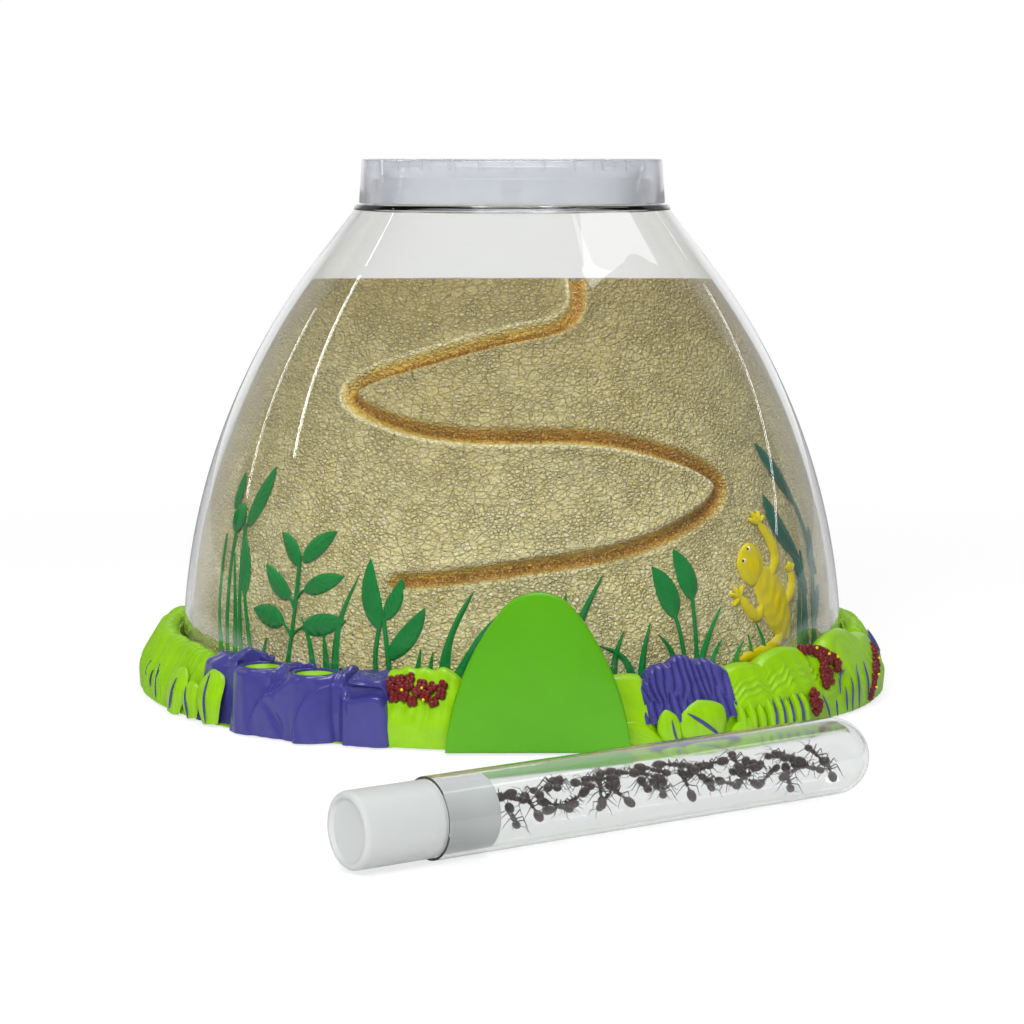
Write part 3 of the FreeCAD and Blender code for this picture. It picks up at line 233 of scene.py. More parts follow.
def bell(inset, height):
    """Radius of the bell curve, moved in by inset, at a height: an arc about a centre beyond
    the axis."""
    return np.sqrt((BELL_RADIUS - inset) ** 2 - (height - BELL_HEIGHT) ** 2) - BELL_OFFSET


def core_ground(height):
    """Radius of the mountain's skin."""
    return bell(CORE_INSET, np.asarray(height, float))


def ring_ground(height):
    """Radius of the ring's outer bank: upright, then leaning in, with a rounded bend between."""
    over = np.asarray(height, float) - RING_BANK
    return RING_OUTER - RING_SLOPE * 0.5 * (over + np.sqrt(over ** 2 + 6.0)) + 0.15


def put(ground, azimuth, height, lift):
    """Points at an azimuth in degrees and a height on a round ground, lifted along its normal."""
    slope = (ground(height + 0.05) - ground(height - 0.05)) / 0.1
    length = np.sqrt(1.0 + slope ** 2)
    radius = ground(height) + lift / length
    return round_points(radius, np.radians(azimuth), height - lift * slope / length)


def section(kind, many):
    """A strip's cross-section as shares across and up: the top from right to left, and a low
    underside back. Round is half an ellipse, leaf a flat top with soft edges, ridge a roof."""
    across = np.cos(np.linspace(0.0, math.pi, many))
    if kind == "round":
        top = np.sqrt(np.clip(1 - across ** 2, 0, 1))
    elif kind == "leaf":
        top = 1 - np.abs(across) ** 4
    else:
        top = 1 - np.abs(across) ** 1.2
    under = np.array([-0.6, 0.0, 0.6])
    return (np.concatenate([across, under]), np.concatenate([top, np.full(3, -0.3)]))


def pointed(share, power=0.7):
    """Width of a form that is pointed at both ends: a sine raised to a power."""
    return np.sin(math.pi * np.clip(share, 0.0, 1.0)) ** power


def tapered(share, power=0.6):
    """Width of a blade: full at the foot and running out to a point."""
    return np.clip(1.0 - share, 0.0, 1.0) ** power


def leaf_width(share):
    """Width of a broad leaf: fullest at two fifths of its length, with a drawn-out tip."""
    return np.clip(2.35 * share ** 0.62 * (1.0 - share) ** 0.85, 0.0, 1.0)


def strip(ground, spots, half_width, thick, kind, width, seat, carve=None, *, along, around):
    """A raised strip on a round ground: its section is carried along a smooth way, as wide and
    thick as the width function says, with carve adding fine relief to its top."""
    share = np.linspace(0.0, 1.0, along)
    middle, ways = smooth_way(scaled(spots), along)
    size = np.maximum(width(share), 0.02)[:, None]
    ways = ways / np.linalg.norm(ways, axis=1, keepdims=True)
    across, up = section(kind, around)
    offset = across[None, :] * half_width * size
    height = middle[:, 1, None] + offset * ways[:, 0, None]
    scale = math.radians(1.0) * ground(height)
    azimuth = (middle[:, 0] / SCALE)[:, None] - offset * ways[:, 1, None] / scale
    lift = up[None, :] * thick * (0.35 + 0.65 * size)
    if carve is not None:
        lift = lift + np.where(up > 0, carve(share[:, None], across[None, :]) * size, 0.0)
    return sheet_grid(put(ground, azimuth, height, seat + lift))


def scaled(spots):
    """Azimuths brought to millimetres along the ground."""
    spots = np.asarray(spots, float)
    return np.stack([spots[:, 0] * SCALE, spots[:, 1]], axis=-1)


# ---------------------------------------------------------------- materials


def colour(code):
    """An sRGB hex value as linear light: the low part divided by 12.92, the rest to the 2.4. A
    property's colour is linear already."""
    if not isinstance(code, str):
        return tuple(code)
    parts = np.array([int(code[at:at + 2], 16) for at in (1, 3, 5)]) / 255.0
    linear = np.where(parts <= 0.04045, parts / 12.92, ((parts + 0.055) / 1.055) ** 2.4)
    return (*linear.tolist(), 1.0)


def add(tree, kind, settings=None, **sockets):
    """One node with its settings; a socket gets a value, or a link from another socket. A name
    such as in_6 means the input of that number."""
    made = tree.nodes.new("ShaderNode" + kind)
    for key, what in (settings or {}).items():
        setattr(made, key, what)
    for key, what in sockets.items():
        place = int(key[3:]) if key.startswith("in_") else key.replace("_", " ")
        if isinstance(what, bpy.types.NodeSocket):
            tree.links.new(what, made.inputs[place])
        else:
            made.inputs[place].default_value = what
    return made


def start_material(name):
    """An empty node material with its output and the object's own coordinates."""
    material = bpy.data.materials.new(name)
    material.use_nodes = True
    tree = material.node_tree
    tree.nodes.clear()
    output = add(tree, "OutputMaterial")
    where = add(tree, "TexCoord").outputs["Object"]
    return material, tree, output, where


def noise(tree, where, size, detail, **more):
    """Noise of a size in metres."""
    made = add(tree, "TexNoise", Vector=where, Scale=1.0 / size, Detail=detail, **more)
    return made.outputs["Fac"]


def remap(tree, value, low=0.0, high=1.0, first=0.0, last=1.0):
    """A value carried from the range of low and high to that of first and last."""
    made = add(tree, "MapRange", Value=value, From_Min=low, From_Max=high, To_Min=first,
               To_Max=last)
    return made.outputs[0]


def calc(tree, operation, *numbers):
    """One step of arithmetic on numbers and sockets."""
    places = {f"in_{place}": number for place, number in enumerate(numbers)}
    return add(tree, "Math", {"operation": operation}, **places).outputs[0]


def bumpy(tree, height, strength, distance):
    """Normals that lean with a height, as deep as distance in metres."""
    return add(tree, "Bump", Strength=strength, Distance=distance, Height=height).outputs[0]


def surfaced(tree, output, tone, roughness, **more):
    """The surface of a material, joined to its output."""
    surface = add(tree, "BsdfPrincipled", Base_Color=tone, Roughness=roughness, **more)
    tree.links.new(surface.outputs[0], output.inputs[0])


def blend_colours(tree, factor, first, second):
    """Mix of two colours by a factor."""
    mixed = add(tree, "Mix", {"data_type": "RGBA"}, in_0=factor, in_6=first, in_7=second)
    return mixed.outputs[2]


def ramp(tree, factor, stops):
    """Colour ramp through stops of place and colour code."""
    made = add(tree, "ValToRGB", Fac=factor)
    elements = made.color_ramp.elements
    while len(elements) < len(stops):
        elements.new(0.5)
    for element, (place, code) in zip(elements, stops):
        element.position = place
        element.color = colour(code)
    return made.outputs["Color"]


def moulded_plastic(name, code, dark, roughness, grain=0.00018, spread=0.006, coat=0.0):
    """Injection-moulded ABS: soft sheen, faint flow marks in the colour, and a fine spark-eroded
    grain of about 0.5 mm, coarser than real so that it shows."""
    material, tree, output, where = start_material(name)
    cloud = noise(tree, where, spread, 3.0, Roughness=0.55)
    tone = blend_colours(tree, cloud, colour(dark), colour(code))
    bump = bumpy(tree, noise(tree, where, 0.0005, 2.0), 0.25, grain)
    sheen = remap(tree, cloud, first=roughness - 0.05, last=roughness + 0.07)
    surfaced(tree, output, tone, sheen, Normal=bump, IOR=1.53, Coat_Weight=coat)
    return material


def clear_plastic(name, tint, roughness, ior=1.57, clear=1.0):
    """Clear moulded plastic: real refraction in a thin wall, with lamps let through so that
    what it covers is lit; what clear leaves over is a milky haze."""
    material, tree, output, _ = start_material(name)
    glass = add(tree, "BsdfPrincipled", Base_Color=colour(tint), Roughness=roughness, IOR=ior,
                Transmission_Weight=clear)
    through = add(tree, "BsdfTransparent", Color=colour(tint))
    ray = add(tree, "LightPath")
    mixed = add(tree, "MixShader", in_0=ray.outputs["Is Shadow Ray"], in_1=glass.outputs[0],
                in_2=through.outputs[0])
    tree.links.new(mixed.outputs[0], output.inputs[0])
    return material


def frosted_plastic():
    """Injection-moulded polypropylene, milky: light passes but no shape is seen through it."""
    material, tree, output, where = start_material("Milky polypropylene, moulded")
    bump = bumpy(tree, noise(tree, where, 0.0009, 3.0), 0.3, 0.0002)
    surfaced(tree, output, colour("#E3E6E5"), 0.42, IOR=1.49, Transmission_Weight=0.45,
             Normal=bump)
    return material


def cracked(tree, where, cell, edge):
    """Cells of a size in metres: distance from the crack between them, 0 in it and 1 beyond."""
    cells = add(tree, "TexVoronoi", {"feature": "DISTANCE_TO_EDGE"}, Vector=where,
                Scale=1.0 / cell)
    return add(tree, "MapRange", {"interpolation_type": "SMOOTHSTEP"},
               Value=cells.outputs["Distance"], From_Max=edge).outputs[0]


def sand_skin():
    """Moulded PVC skin with a leather grain, and flocked sand in the ant path: pebbles of about
    1.6 mm between fine cracks, plates of about 3.8 mm between deeper ones, painted shade in the
    cracks, painted highlight specks on the crowns, painted shade that darkens the top, and sand
    grains of 0.7 mm in the golden path, with painted light on its lower lip and painted shade on
    its upper wall."""
    material, tree, output, where = start_material("Sand PVC, leather-grained and moulded")
    warp = add(tree, "TexNoise", Vector=where, Scale=1.0 / 0.0045, Detail=4.0)
    shift = add(tree, "VectorMath", {"operation": "MULTIPLY_ADD"}, in_0=warp.outputs["Color"],
                in_1=(0.0015, 0.0015, 0.0012), in_2=where)
    squash = add(tree, "Mapping", Vector=shift.outputs[0], Scale=(1.0, 1.0, 1.35)).outputs[0]
    pebbles = cracked(tree, squash, 0.0016, 0.16)
    plates = cracked(tree, squash, 0.0038, 0.045)
    worn = remap(tree, noise(tree, where, 0.011, 2.0), 0.40, 0.62, last=0.75)
    fine = calc(tree, "MAXIMUM", pebbles, worn)
    both = calc(tree, "MULTIPLY", fine, plates)
    patches = noise(tree, where, 0.035, 4.0, Roughness=0.6)
    skin = blend_colours(tree, patches, colour("#E8D688"), colour("#FDF4C0"))
    # Painted shade: the cracks between pebbles and plates are darkened in the colour.
    painted_crack_shade = remap(tree, both, first=0.34, last=0.0)
    skin = blend_colours(tree, painted_crack_shade, skin, colour("#A0873C"))
    # Painted highlights: near-white specks on the pebbles' crowns.
    crown = remap(tree, noise(tree, where, 0.0011, 3.0), 0.54, 0.64, last=0.8)
    crown = calc(tree, "MULTIPLY", crown, both)
    skin = blend_colours(tree, crown, skin, colour("#FBF7E2"))
    # Painted shade: the skin darkens towards the top, between 55 and 150 mm up.
    high = add(tree, "SeparateXYZ", Vector=where).outputs["Z"]
    painted_top_shade = remap(tree, high, 0.055, 0.150, last=0.74)
    skin = blend_colours(tree, painted_top_shade, skin, colour("#8A783C"))
    side = add(tree, "Attribute", {"attribute_name": "path_side"}).outputs["Fac"]
    grains = noise(tree, where, 0.0007, 2.0)
    frayed = calc(tree, "MULTIPLY_ADD", grains, 0.20, side)
    # Golden flocked sand across the path, with painted light on its lower lip and painted shade on
    # its upper wall.
    path = ramp(tree, frayed, (
        (0.22, "#E0D08C"), (0.32, "#F4EBC0"), (0.40, "#F4DA80"), (0.51, "#EEC250"),
        (0.58, "#A87424"), (0.67, "#B47E2A"), (0.77, "#D0A046"), (0.88, "#DCC478")))
    flecks = remap(tree, grains, 0.55, 0.63, last=0.6)
    path = blend_colours(tree, flecks, path, colour("#EBDCA0"))
    inside = add(tree, "Attribute", {"attribute_name": "path_mask"}).outputs["Fac"]
    mask = remap(tree, calc(tree, "MULTIPLY_ADD", grains, 0.5, inside), 0.90, 1.15)
    tone = blend_colours(tree, mask, skin, path)
    relief = calc(tree, "MULTIPLY_ADD", fine, 0.40, noise(tree, where, 0.0009, 4.0))
    relief = calc(tree, "MULTIPLY_ADD", plates, 0.5, relief)
    domes = add(tree, "TexVoronoi", Vector=squash, Scale=1.0 / 0.0016).outputs["Distance"]
    relief = calc(tree, "MULTIPLY_ADD", domes, -0.8, relief)
    surfaced(tree, output, tone, 0.34, IOR=1.53, Normal=bumpy(tree, relief, 1.0, 0.0011))
    return material


def painted_leaf(name, code, dark, glitter=0.3):
    """Gloss enamel over the moulded relief, with a speck of fine glitter in each cell of
    0.8 mm, which also serves as a painted highlight."""
    material, tree, output, where = start_material(name)
    tone = blend_colours(tree, noise(tree, where, 0.008, 3.0), colour(dark), colour(code))
    flakes = add(tree, "TexVoronoi", Vector=where, Scale=1.0 / 0.0008).outputs["Distance"]
    # Light green specks: the paint's glitter, also standing in as painted highlights on the leaves.
    spark = remap(tree, flakes, 0.16, 0.06, last=glitter)
    tone = blend_colours(tree, spark, tone, colour("#7FC08A"))
    bump = bumpy(tree, noise(tree, where, 0.0008, 3.0), 0.35, 0.00025)
    surfaced(tree, output, tone, 0.34, IOR=1.5, Normal=bump)
    return material


def cloudy(name, dark, light, size, roughness, **more):
    """A surface whose colour wanders between two, in clouds of a size in metres."""
    material, tree, output, where = start_material(name)
    tone = blend_colours(tree, noise(tree, where, size, 2.0), colour(dark), colour(light))
    surfaced(tree, output, tone, roughness, **more)
    return material


# ---------------------------------------------------------------- what a user may change


class HabitatSizes(bpy.types.PropertyGroup):
    """Sizes of the dressed pieces, in millimetres, and their fineness."""

    steps_round: bpy.props.IntProperty(
        name="Steps round", description="Steps round the turned pieces", default=192, min=24)
    path_width: bpy.props.FloatProperty(
        name="Path half width", description="Half width of the ant path in millimetres",
        default=2.6, min=1.0, max=6.0)
    path_depth: bpy.props.FloatProperty(
        name="Path depth", description="Depth of the ant path in millimetres",
        default=3.4, min=0.5, max=6.0)
    leaf_thick: bpy.props.FloatProperty(
        name="Leaf relief", description="How far leaves stand off the mountain in millimetres",
        default=1.1, min=0.3, max=2.5)
    berry_radius: bpy.props.FloatProperty(
        name="Berry radius", description="Radius of a drupe in millimetres", default=1.15, min=0.5)
    ant_length: bpy.props.FloatProperty(
        name="Ant length", description="Length of an ant's body in millimetres",
        default=11.5, min=3.0, max=14.0)


def tint(name, description, code):
    """A colour property, linear, whose default is an sRGB hex value."""
    return bpy.props.FloatVectorProperty(
        name=name, description=description, default=colour(code), size=4, subtype="COLOR",
        min=0.0, max=1.0)


class HabitatColours(bpy.types.PropertyGroup):
    """Main colours of the moulded and painted pieces."""

    ring: tint("Ring", "Colour of the base ring, its leaves and shrubs", "#8EC200")
    leaf: tint("Leaves", "Colour of the painted leaves on the mountain", "#008C3A")
    rock: tint("Rock", "Colour of the rock", "#403F88")
    gecko: tint("Gecko", "Colour of the gecko", "#E6D600")
    shield: tint("Shield", "Colour of the shield", "#52A000")
    berry: tint("Berries", "Colour of the berries", "#74201F")


def sizes():
    """The scene's sizes."""
    return bpy.context.scene.habitat_sizes


def colours():
    """The scene's colours."""
    return bpy.context.scene.habitat_colours


# ---------------------------------------------------------------- the clear pieces


DOME_WALL = 1.5


def dome_skin(steps):
    """The bell: its outer arc, shoulder, cone, collar and neck, back down by the same wall."""
    up = np.linspace(16.0, 160.0, 62)
    outer = np.stack([bell(0.0, up), up], axis=-1)
    down = np.linspace(158.9, 13.0, 62)
    inner = np.stack([bell(DOME_WALL, down), down], axis=-1)
    top = soften([(59.6, 178.0), (58.4, 179.7), (53.0, 179.7), (53.0, 189.7), (51.0, 189.7),
                  (51.0, 177.7), (58.0, 176.8)], [0.5, 0.4, 0.5, 0.5, 0.5, 1.4, 0.8])
    foot = np.array([(bell(DOME_WALL, 12.1), 12.1), (126.8, 12.0), (127.0, 12.2), (127.0, 13.8),
                     (126.8, 14.0), (125.5, 14.1), (125.2, 14.4)])
    return turned(np.concatenate([outer, top, inner, foot]), steps)


def radial_plates(count, inner, outer, low, high, thick):
    """Flat ribs round the axis: each a box between two radii and two heights."""
    skins = []
    ring = np.array([(inner, -1), (outer, -1), (outer, 1), (inner, 1)], float)
    for at in np.radians(360.0 * np.arange(count) / count):
        x = ring[:, 0] * math.sin(at) + ring[:, 1] * thick / 2 * math.cos(at)
        y = -ring[:, 0] * math.cos(at) + ring[:, 1] * thick / 2 * math.sin(at)
        levels = [np.stack([x, y, np.full(4, level)], axis=-1) for level in (low, high)]
        skins.append(sheet_grid(np.stack(levels)))
    return skins


LID_BASE = 180.0


def lid_skins(steps):
    """The lid: plate, drafted outer skirt, plug skirt and nub as one turned outline, and ribs."""
    outline = soften([(0.05, 16.5), (56.3, 16.5), (57.4, 0.0), (55.6, 0.0), (54.5, 15.7),
                      (50.0, 15.7), (50.0, 1.0), (48.0, 1.0), (48.0, 14.0), (4.4, 14.0),
                      (4.0, 11.0), (0.05, 11.0)],
                     [0.0, 0.7, 0.5, 0.5, 0.5, 0.4, 0.5, 0.5, 0.5, 0.5, 0.6, 0.0], 3)
    skins = [turned(outline + np.array([0.0, LID_BASE]), steps)]
    skins += radial_plates(30, 49.8, 54.9, LID_BASE + 12.2, LID_BASE + 15.9, 1.2)
    skins += radial_plates(8, 9.0, 30.0, LID_BASE + 12.6, LID_BASE + 14.2, 1.0)
    return skins


# ---------------------------------------------------------------- the mountain

ANT_PATH = ((17.9, 159.0), (16.9, 147.0), (3.0, 135.8), (-20.9, 126.5), (-35.3, 114.5),
            (-24.9, 106.4), (5.9, 101.9), (27.4, 96.5), (40.9, 82.5), (29.9, 69.5),
            (3.4, 59.1), (-17.4, 53.6), (-19.5, 53.3))
FOOT_SCALE = math.radians(1.0) * 125.1  # millimetres per degree at the mountain's foot
MOUNTAIN_FOOT, SAND_TOP, SAND_RADIUS = 3.0, 151.3, 70.8
SAND_TILT = math.tan(math.radians(2.46))
LEVELS = 160  # rows of the mountain's wall
SIDE_REACH = 2.4  # path widths over which path_side runs from 0 to 1 about the middle


def path_offset(azimuth, height):
    """Distance in millimetres from the ant path and on which side, positive above it: the
    nearest of many points along the cubic spline through the path's spots."""
    spots = np.asarray(ANT_PATH) * np.array([FOOT_SCALE, 1.0])
    middle, ways = smooth_way(spots, 420)
    ways = ways / np.linalg.norm(ways, axis=1, keepdims=True)
    ground = math.radians(1.0) * core_ground(np.clip(middle[:, 1], 3, 156))
    slope = middle[:, 1] - BELL_HEIGHT
    steep = (BELL_RADIUS - CORE_INSET) / np.sqrt((BELL_RADIUS - CORE_INSET) ** 2 - slope ** 2)
    shape = azimuth.shape
    azimuth, height = azimuth.ravel(), height.ravel()
    distance = np.full(azimuth.size, 99.0)
    side = np.zeros(azimuth.size)
    near = np.flatnonzero(np.abs(azimuth) < 60)
    for part in np.array_split(near, 24):
        right = (azimuth[part, None] - middle[None, :, 0] / FOOT_SCALE) * ground
        up = (height[part, None] - middle[None, :, 1]) * steep
        reach = np.hypot(right, up)
        best = reach.argmin(axis=1)
        pick = np.arange(len(part))
        distance[part] = reach[pick, best]
        side[part] = (ways[best, 0] * up[pick, best] - ways[best, 1] * right[pick, best])
    return distance.reshape(shape), np.sign(side).reshape(shape)


def mountain_skin(path_width, path_depth):
    """The mountain: the bell's inner arc with the ant path pressed in, a rim beside the path,
    shallow hollows by hand, and a tilted sand top with its own low ripples."""
    fine = np.arange(-74.0, 74.01, 0.40)
    coarse = np.arange(76.5, 284.0, 2.5)
    azimuth = np.concatenate([fine, coarse])
    turn = np.radians(azimuth)
    rim = SAND_TOP + SAND_TILT * SAND_RADIUS * np.cos(turn)
    share = np.linspace(0.0, 1.0, LEVELS)[:, None]
    height = MOUNTAIN_FOOT + (rim[None, :] - MOUNTAIN_FOOT) * share
    grid_azimuth = np.broadcast_to(azimuth, height.shape)
    distance, side = path_offset(grid_azimuth, height)
    crooked = 0.084 * np.sin(0.9 * grid_azimuth + 0.31 * height)
    far = (distance + crooked) / path_width
    groove = path_depth * np.clip(1.06 - far ** 2 * 0.9, 0.0, 1.0) ** 1.1
    rims = 0.55 * np.exp(-((distance - 1.55 * path_width) / 1.5) ** 2)
    hand = (0.30 * np.sin(0.11 * grid_azimuth + 0.045 * height + 1.0)
            + 0.22 * np.sin(0.23 * grid_azimuth - 0.09 * height)
            + 0.10 * np.sin(0.62 * grid_azimuth + 0.21 * height))
    lift = rims - groove + hand * np.clip(share * 6, 0, 1) * np.clip((1 - share) * 8, 0, 1)
    wall = put(core_ground, grid_azimuth, height, lift)
    inward = np.concatenate([[0.985, 0.965], np.linspace(0.92, 0.04, 22)])[:, None]
    top_edge = wall[-1]
    top = np.stack([top_edge[None, :, 0] * inward, top_edge[None, :, 1] * inward,
                    SAND_TOP - SAND_TILT * top_edge[None, :, 1] * inward], axis=-1)
    ripple = (0.35 * np.sin(0.21 * top[..., 0] + 0.13 * top[..., 1])
              * np.clip((1 - inward) * 6, 0, 1))
    top[..., 2] += ripple
    foot = wall[:1] * np.array([0.97, 0.97, 1.0])
    points = np.concatenate([foot, wall, top])
    ratio = np.clip(side * distance / path_width, -SIDE_REACH, SIDE_REACH)
    mask = np.clip((2.2 - np.where(side < 0, 0.78, 1.0) * distance / path_width) / 1.2, 0, 1)
    sides = np.full(points.shape[:2], 0.5)
    masks = np.zeros_like(sides)
    sides[1:LEVELS + 1] = 0.5 + ratio / (2 * SIDE_REACH)
    masks[1:LEVELS + 1] = mask
    skin = sheet_grid(points)
    pad = np.zeros(len(skin[0]) - sides.size)
    marks = {"path_side": np.concatenate([sides.ravel(), pad + 0.5]),
             "path_mask": np.concatenate([masks.ravel(), pad])}
    return skin, marks


# ---------------------------------------------------------------- plants on the mountain


SEAT = 0.25  # how far leaves and blades lie above the skin


def veins(count):
    """Relief of a leaf: a raised midrib, and veins that run forward from it in pairs."""
    depth, slant = 0.34, 0.55

    def carve(share, across):
        rib = 0.30 * np.exp(-(across / 0.09) ** 2)
        wave = np.sin(2 * math.pi * (count * share - slant * count * 0.35 * np.abs(across)))
        return rib - depth * (0.5 + 0.5 * wave) ** 3 * np.clip(4 * np.abs(across), 0, 1)
    return carve


def leaf(base, tip, half_width, thick, bend=0.0, count=6):
    """A painted leaf: broad, drawn to a point, its middle bowed sideways by bend."""
    middle = ((base[0] + tip[0]) / 2 + bend, (base[1] + tip[1]) / 2)
    return strip(core_ground, (base, middle, tip), half_width * 1.04, thick, "leaf", leaf_width,
                 SEAT, veins(count), along=40, around=22)


def blade(spots, half_width, thick=1.1):
    """A painted blade of grass: a roof section that runs out to a point."""
    return strip(core_ground, spots, half_width, thick, "ridge", tapered, SEAT, along=26, around=11)


def stalk(spots, half_width):
    """A painted stem: a low round section of nearly even width."""
    return strip(core_ground, spots, half_width, 0.9, "round", lambda s: 1.0 - 0.25 * s, 0.2,
                 along=24, around=9)


def sprig_skins(thick):
    """Sprig with six leaves, its stems and the grass beside it."""
    return [
        stalk(((-39.9, 20.0), (-39.1, 33.0), (-38.8, 46.0), (-38.9, 59.0)), 0.85),
        leaf((-39.0, 55.4), (-44.0, 66.2), 3.3, thick, 0.5),
        leaf((-38.2, 57.0), (-31.6, 68.2), 3.7, thick, -0.6),
        leaf((-40.2, 44.0), (-46.9, 54.6), 3.7, thick, -0.5),
        leaf((-37.2, 47.4), (-29.2, 53.4), 3.7, thick, -0.2),
        leaf((-41.2, 35.6), (-49.0, 38.6), 4.3, thick, 0.0),
        leaf((-37.0, 34.6), (-28.2, 38.4), 4.3, thick, 0.0),
        stalk(((-39.2, 31.0), (-40.2, 33.4), (-41.6, 35.8)), 0.6),
        stalk(((-39.2, 31.0), (-38.2, 33.0), (-36.8, 34.8)), 0.6),
        stalk(((-39.0, 41.0), (-39.6, 43.0), (-40.4, 44.6)), 0.6),
        stalk(((-38.9, 44.0), (-38.2, 46.0), (-37.0, 47.6)), 0.6),
        blade(((-34.4, 20.0), (-35.2, 29.0), (-37.3, 38.2)), 1.5),
        blade(((-31.6, 20.0), (-32.0, 27.0), (-32.6, 34.0)), 1.6),
        blade(((-30.0, 20.0), (-29.6, 36.0), (-26.0, 55.4)), 1.6),
    ]


def twin_skins(thick):
    """Plant with one tall and two short leaves."""
    return [
        leaf((-22.0, 36.6), (-24.4, 60.2), 4.1, thick, -0.8, 9),
        leaf((-21.2, 39.6), (-18.4, 54.2), 3.2, thick, 0.3, 7),
        leaf((-20.6, 26.4), (-14.3, 44.6), 3.9, thick, 0.7, 8),
        stalk(((-22.4, 20.0), (-22.6, 28.0), (-21.8, 40.0)), 0.95),
        stalk(((-19.9, 20.0), (-20.6, 30.0), (-21.4, 41.0)), 0.95),
    ]


def reed_skins(thick):
    """Reeds at the left edge, with a round bud."""
    return [
        leaf((-60.2, 71.0), (-59.5, 84.0), 2.4, thick, 0.0),
        leaf((-54.4, 66.4), (-49.6, 87.8), 4.0, thick, 0.2, 8),
        strip(core_ground, ((-58.1, 63.4), (-57.7, 68.4), (-57.2, 73.6)), 3.9, 1.8, "round",
              lambda s: pointed(s, 0.5), 0.2, along=30, around=20),
        leaf((-52.0, 42.5), (-54.9, 63.4), 3.8, thick, 0.3, 8),
        stalk(((-56.0, 20.0), (-57.4, 44.0), (-57.9, 65.0)), 0.8),
        stalk(((-51.6, 20.0), (-53.0, 36.0), (-55.0, 67.0)), 0.8),
        stalk(((-48.6, 20.0), (-50.4, 32.0), (-52.2, 44.0)), 0.8),
        blade(((-53.6, 20.0), (-54.8, 40.0), (-57.0, 56.0)), 1.3),
        blade(((-58.2, 20.0), (-60.2, 40.0), (-61.4, 62.0)), 1.3),
        blade(((-46.3, 20.0), (-45.7, 24.5), (-45.0, 29.2)), 1.2),
    ]


def grass_skins():
    """Loose blades along the front, four of them broader and thicker."""
    return [
        blade(((-15.6, 20.0), (-15.2, 25.0), (-14.8, 31.0)), 1.3),
        blade(((-13.4, 20.0), (-13.1, 25.0), (-12.8, 29.8)), 1.3),
        blade(((-11.0, 19.5), (-10.0, 34.0), (-6.2, 50.8)), 2.3, 1.4),
        blade(((-8.9, 19.5), (-5.6, 33.0), (0.6, 47.8)), 2.4, 1.4),
        blade(((9.2, 24.0), (11.2, 40.3), (15.4, 56.0)), 1.9, 1.3),
        blade(((8.0, 38.0), (8.4, 44.0), (8.9, 50.0)), 1.6, 1.3),
        blade(((16.4, 20.0), (16.9, 28.0), (18.5, 36.6)), 1.5),
        blade(((19.8, 20.0), (18.2, 27.0), (13.8, 32.0)), 1.5),
        blade(((21.2, 20.0), (21.7, 28.0), (23.1, 38.4)), 1.5),
        blade(((27.2, 20.0), (26.8, 28.0), (24.4, 34.6)), 1.5),
        blade(((39.4, 20.0), (40.0, 24.0), (41.6, 29.0)), 1.3),
    ]


def bulb_skins(thick):
    """Two drop-shaped leaves on tall stems, and grass beside them."""
    return [
        leaf((27.7, 39.6), (24.2, 57.4), 4.6, thick, 0.6, 9),
        leaf((31.3, 45.2), (28.4, 62.8), 4.4, thick, 0.6, 9),
        stalk(((29.2, 20.0), (28.9, 30.0), (27.6, 41.5)), 0.9),
        stalk(((31.5, 20.0), (31.5, 32.0), (31.3, 47.0)), 0.9),
        blade(((31.8, 20.0), (33.6, 30.0), (37.1, 41.8)), 1.6),
        blade(((34.0, 20.0), (35.0, 25.0), (36.8, 30.4)), 1.3),
        blade(((43.6, 22.0), (43.2, 27.0), (42.6, 31.6)), 1.4),
        blade(((46.8, 24.0), (46.0, 30.0), (44.6, 35.4)), 1.4),
    ]


def palm_skins(thick):
    """Palm at the right edge: long drooping leaves over a bundle of stems."""
    wide = dict(along=40, around=20)
    return [
        strip(core_ground, ((54.0, 95.2), (58.6, 84.5), (63.0, 72.0)), 3.0, thick, "leaf",
              pointed, 0.3, veins(10), **wide),
        strip(core_ground, ((52.0, 77.6), (54.9, 65.4), (60.2, 53.4)), 4.0, thick, "leaf",
              pointed, 0.5, veins(10), **wide),
        leaf((65.0, 49.0), (67.4, 63.0), 2.6, thick),
        leaf((61.6, 40.0), (58.4, 56.0), 2.8, thick),
        leaf((63.0, 28.0), (67.6, 42.0), 2.8, thick),
        stalk(((66.8, 46.0), (66.0, 56.0), (63.0, 73.0)), 0.9),
        blade(((59.6, 20.0), (60.4, 36.0), (61.4, 56.0)), 2.3, 1.3),
        blade(((63.2, 20.0), (64.0, 34.0), (66.0, 52.0)), 1.8, 1.2),
        blade(((57.2, 20.0), (58.0, 34.0), (59.8, 50.0)), 1.3, 1.1),
    ]


# ---------------------------------------------------------------- the gecko


def limb(spots, half_width, thick, ends=0.35):
    """A rounded limb with a few low folds across it."""
    def folds(share, across):
        return 0.08 * np.sin(26 * share + 2 * across)
    return strip(core_ground, spots, half_width, thick, "round", lambda s: pointed(s, ends), 0.15,
                 folds, along=34, around=18)


def scales(share, across):
    """Low folds over a rounded back: a sine along it, bowed by a sine across."""
    return 0.13 * np.sin(40 * share + 2.2 * np.sin(3 * across))


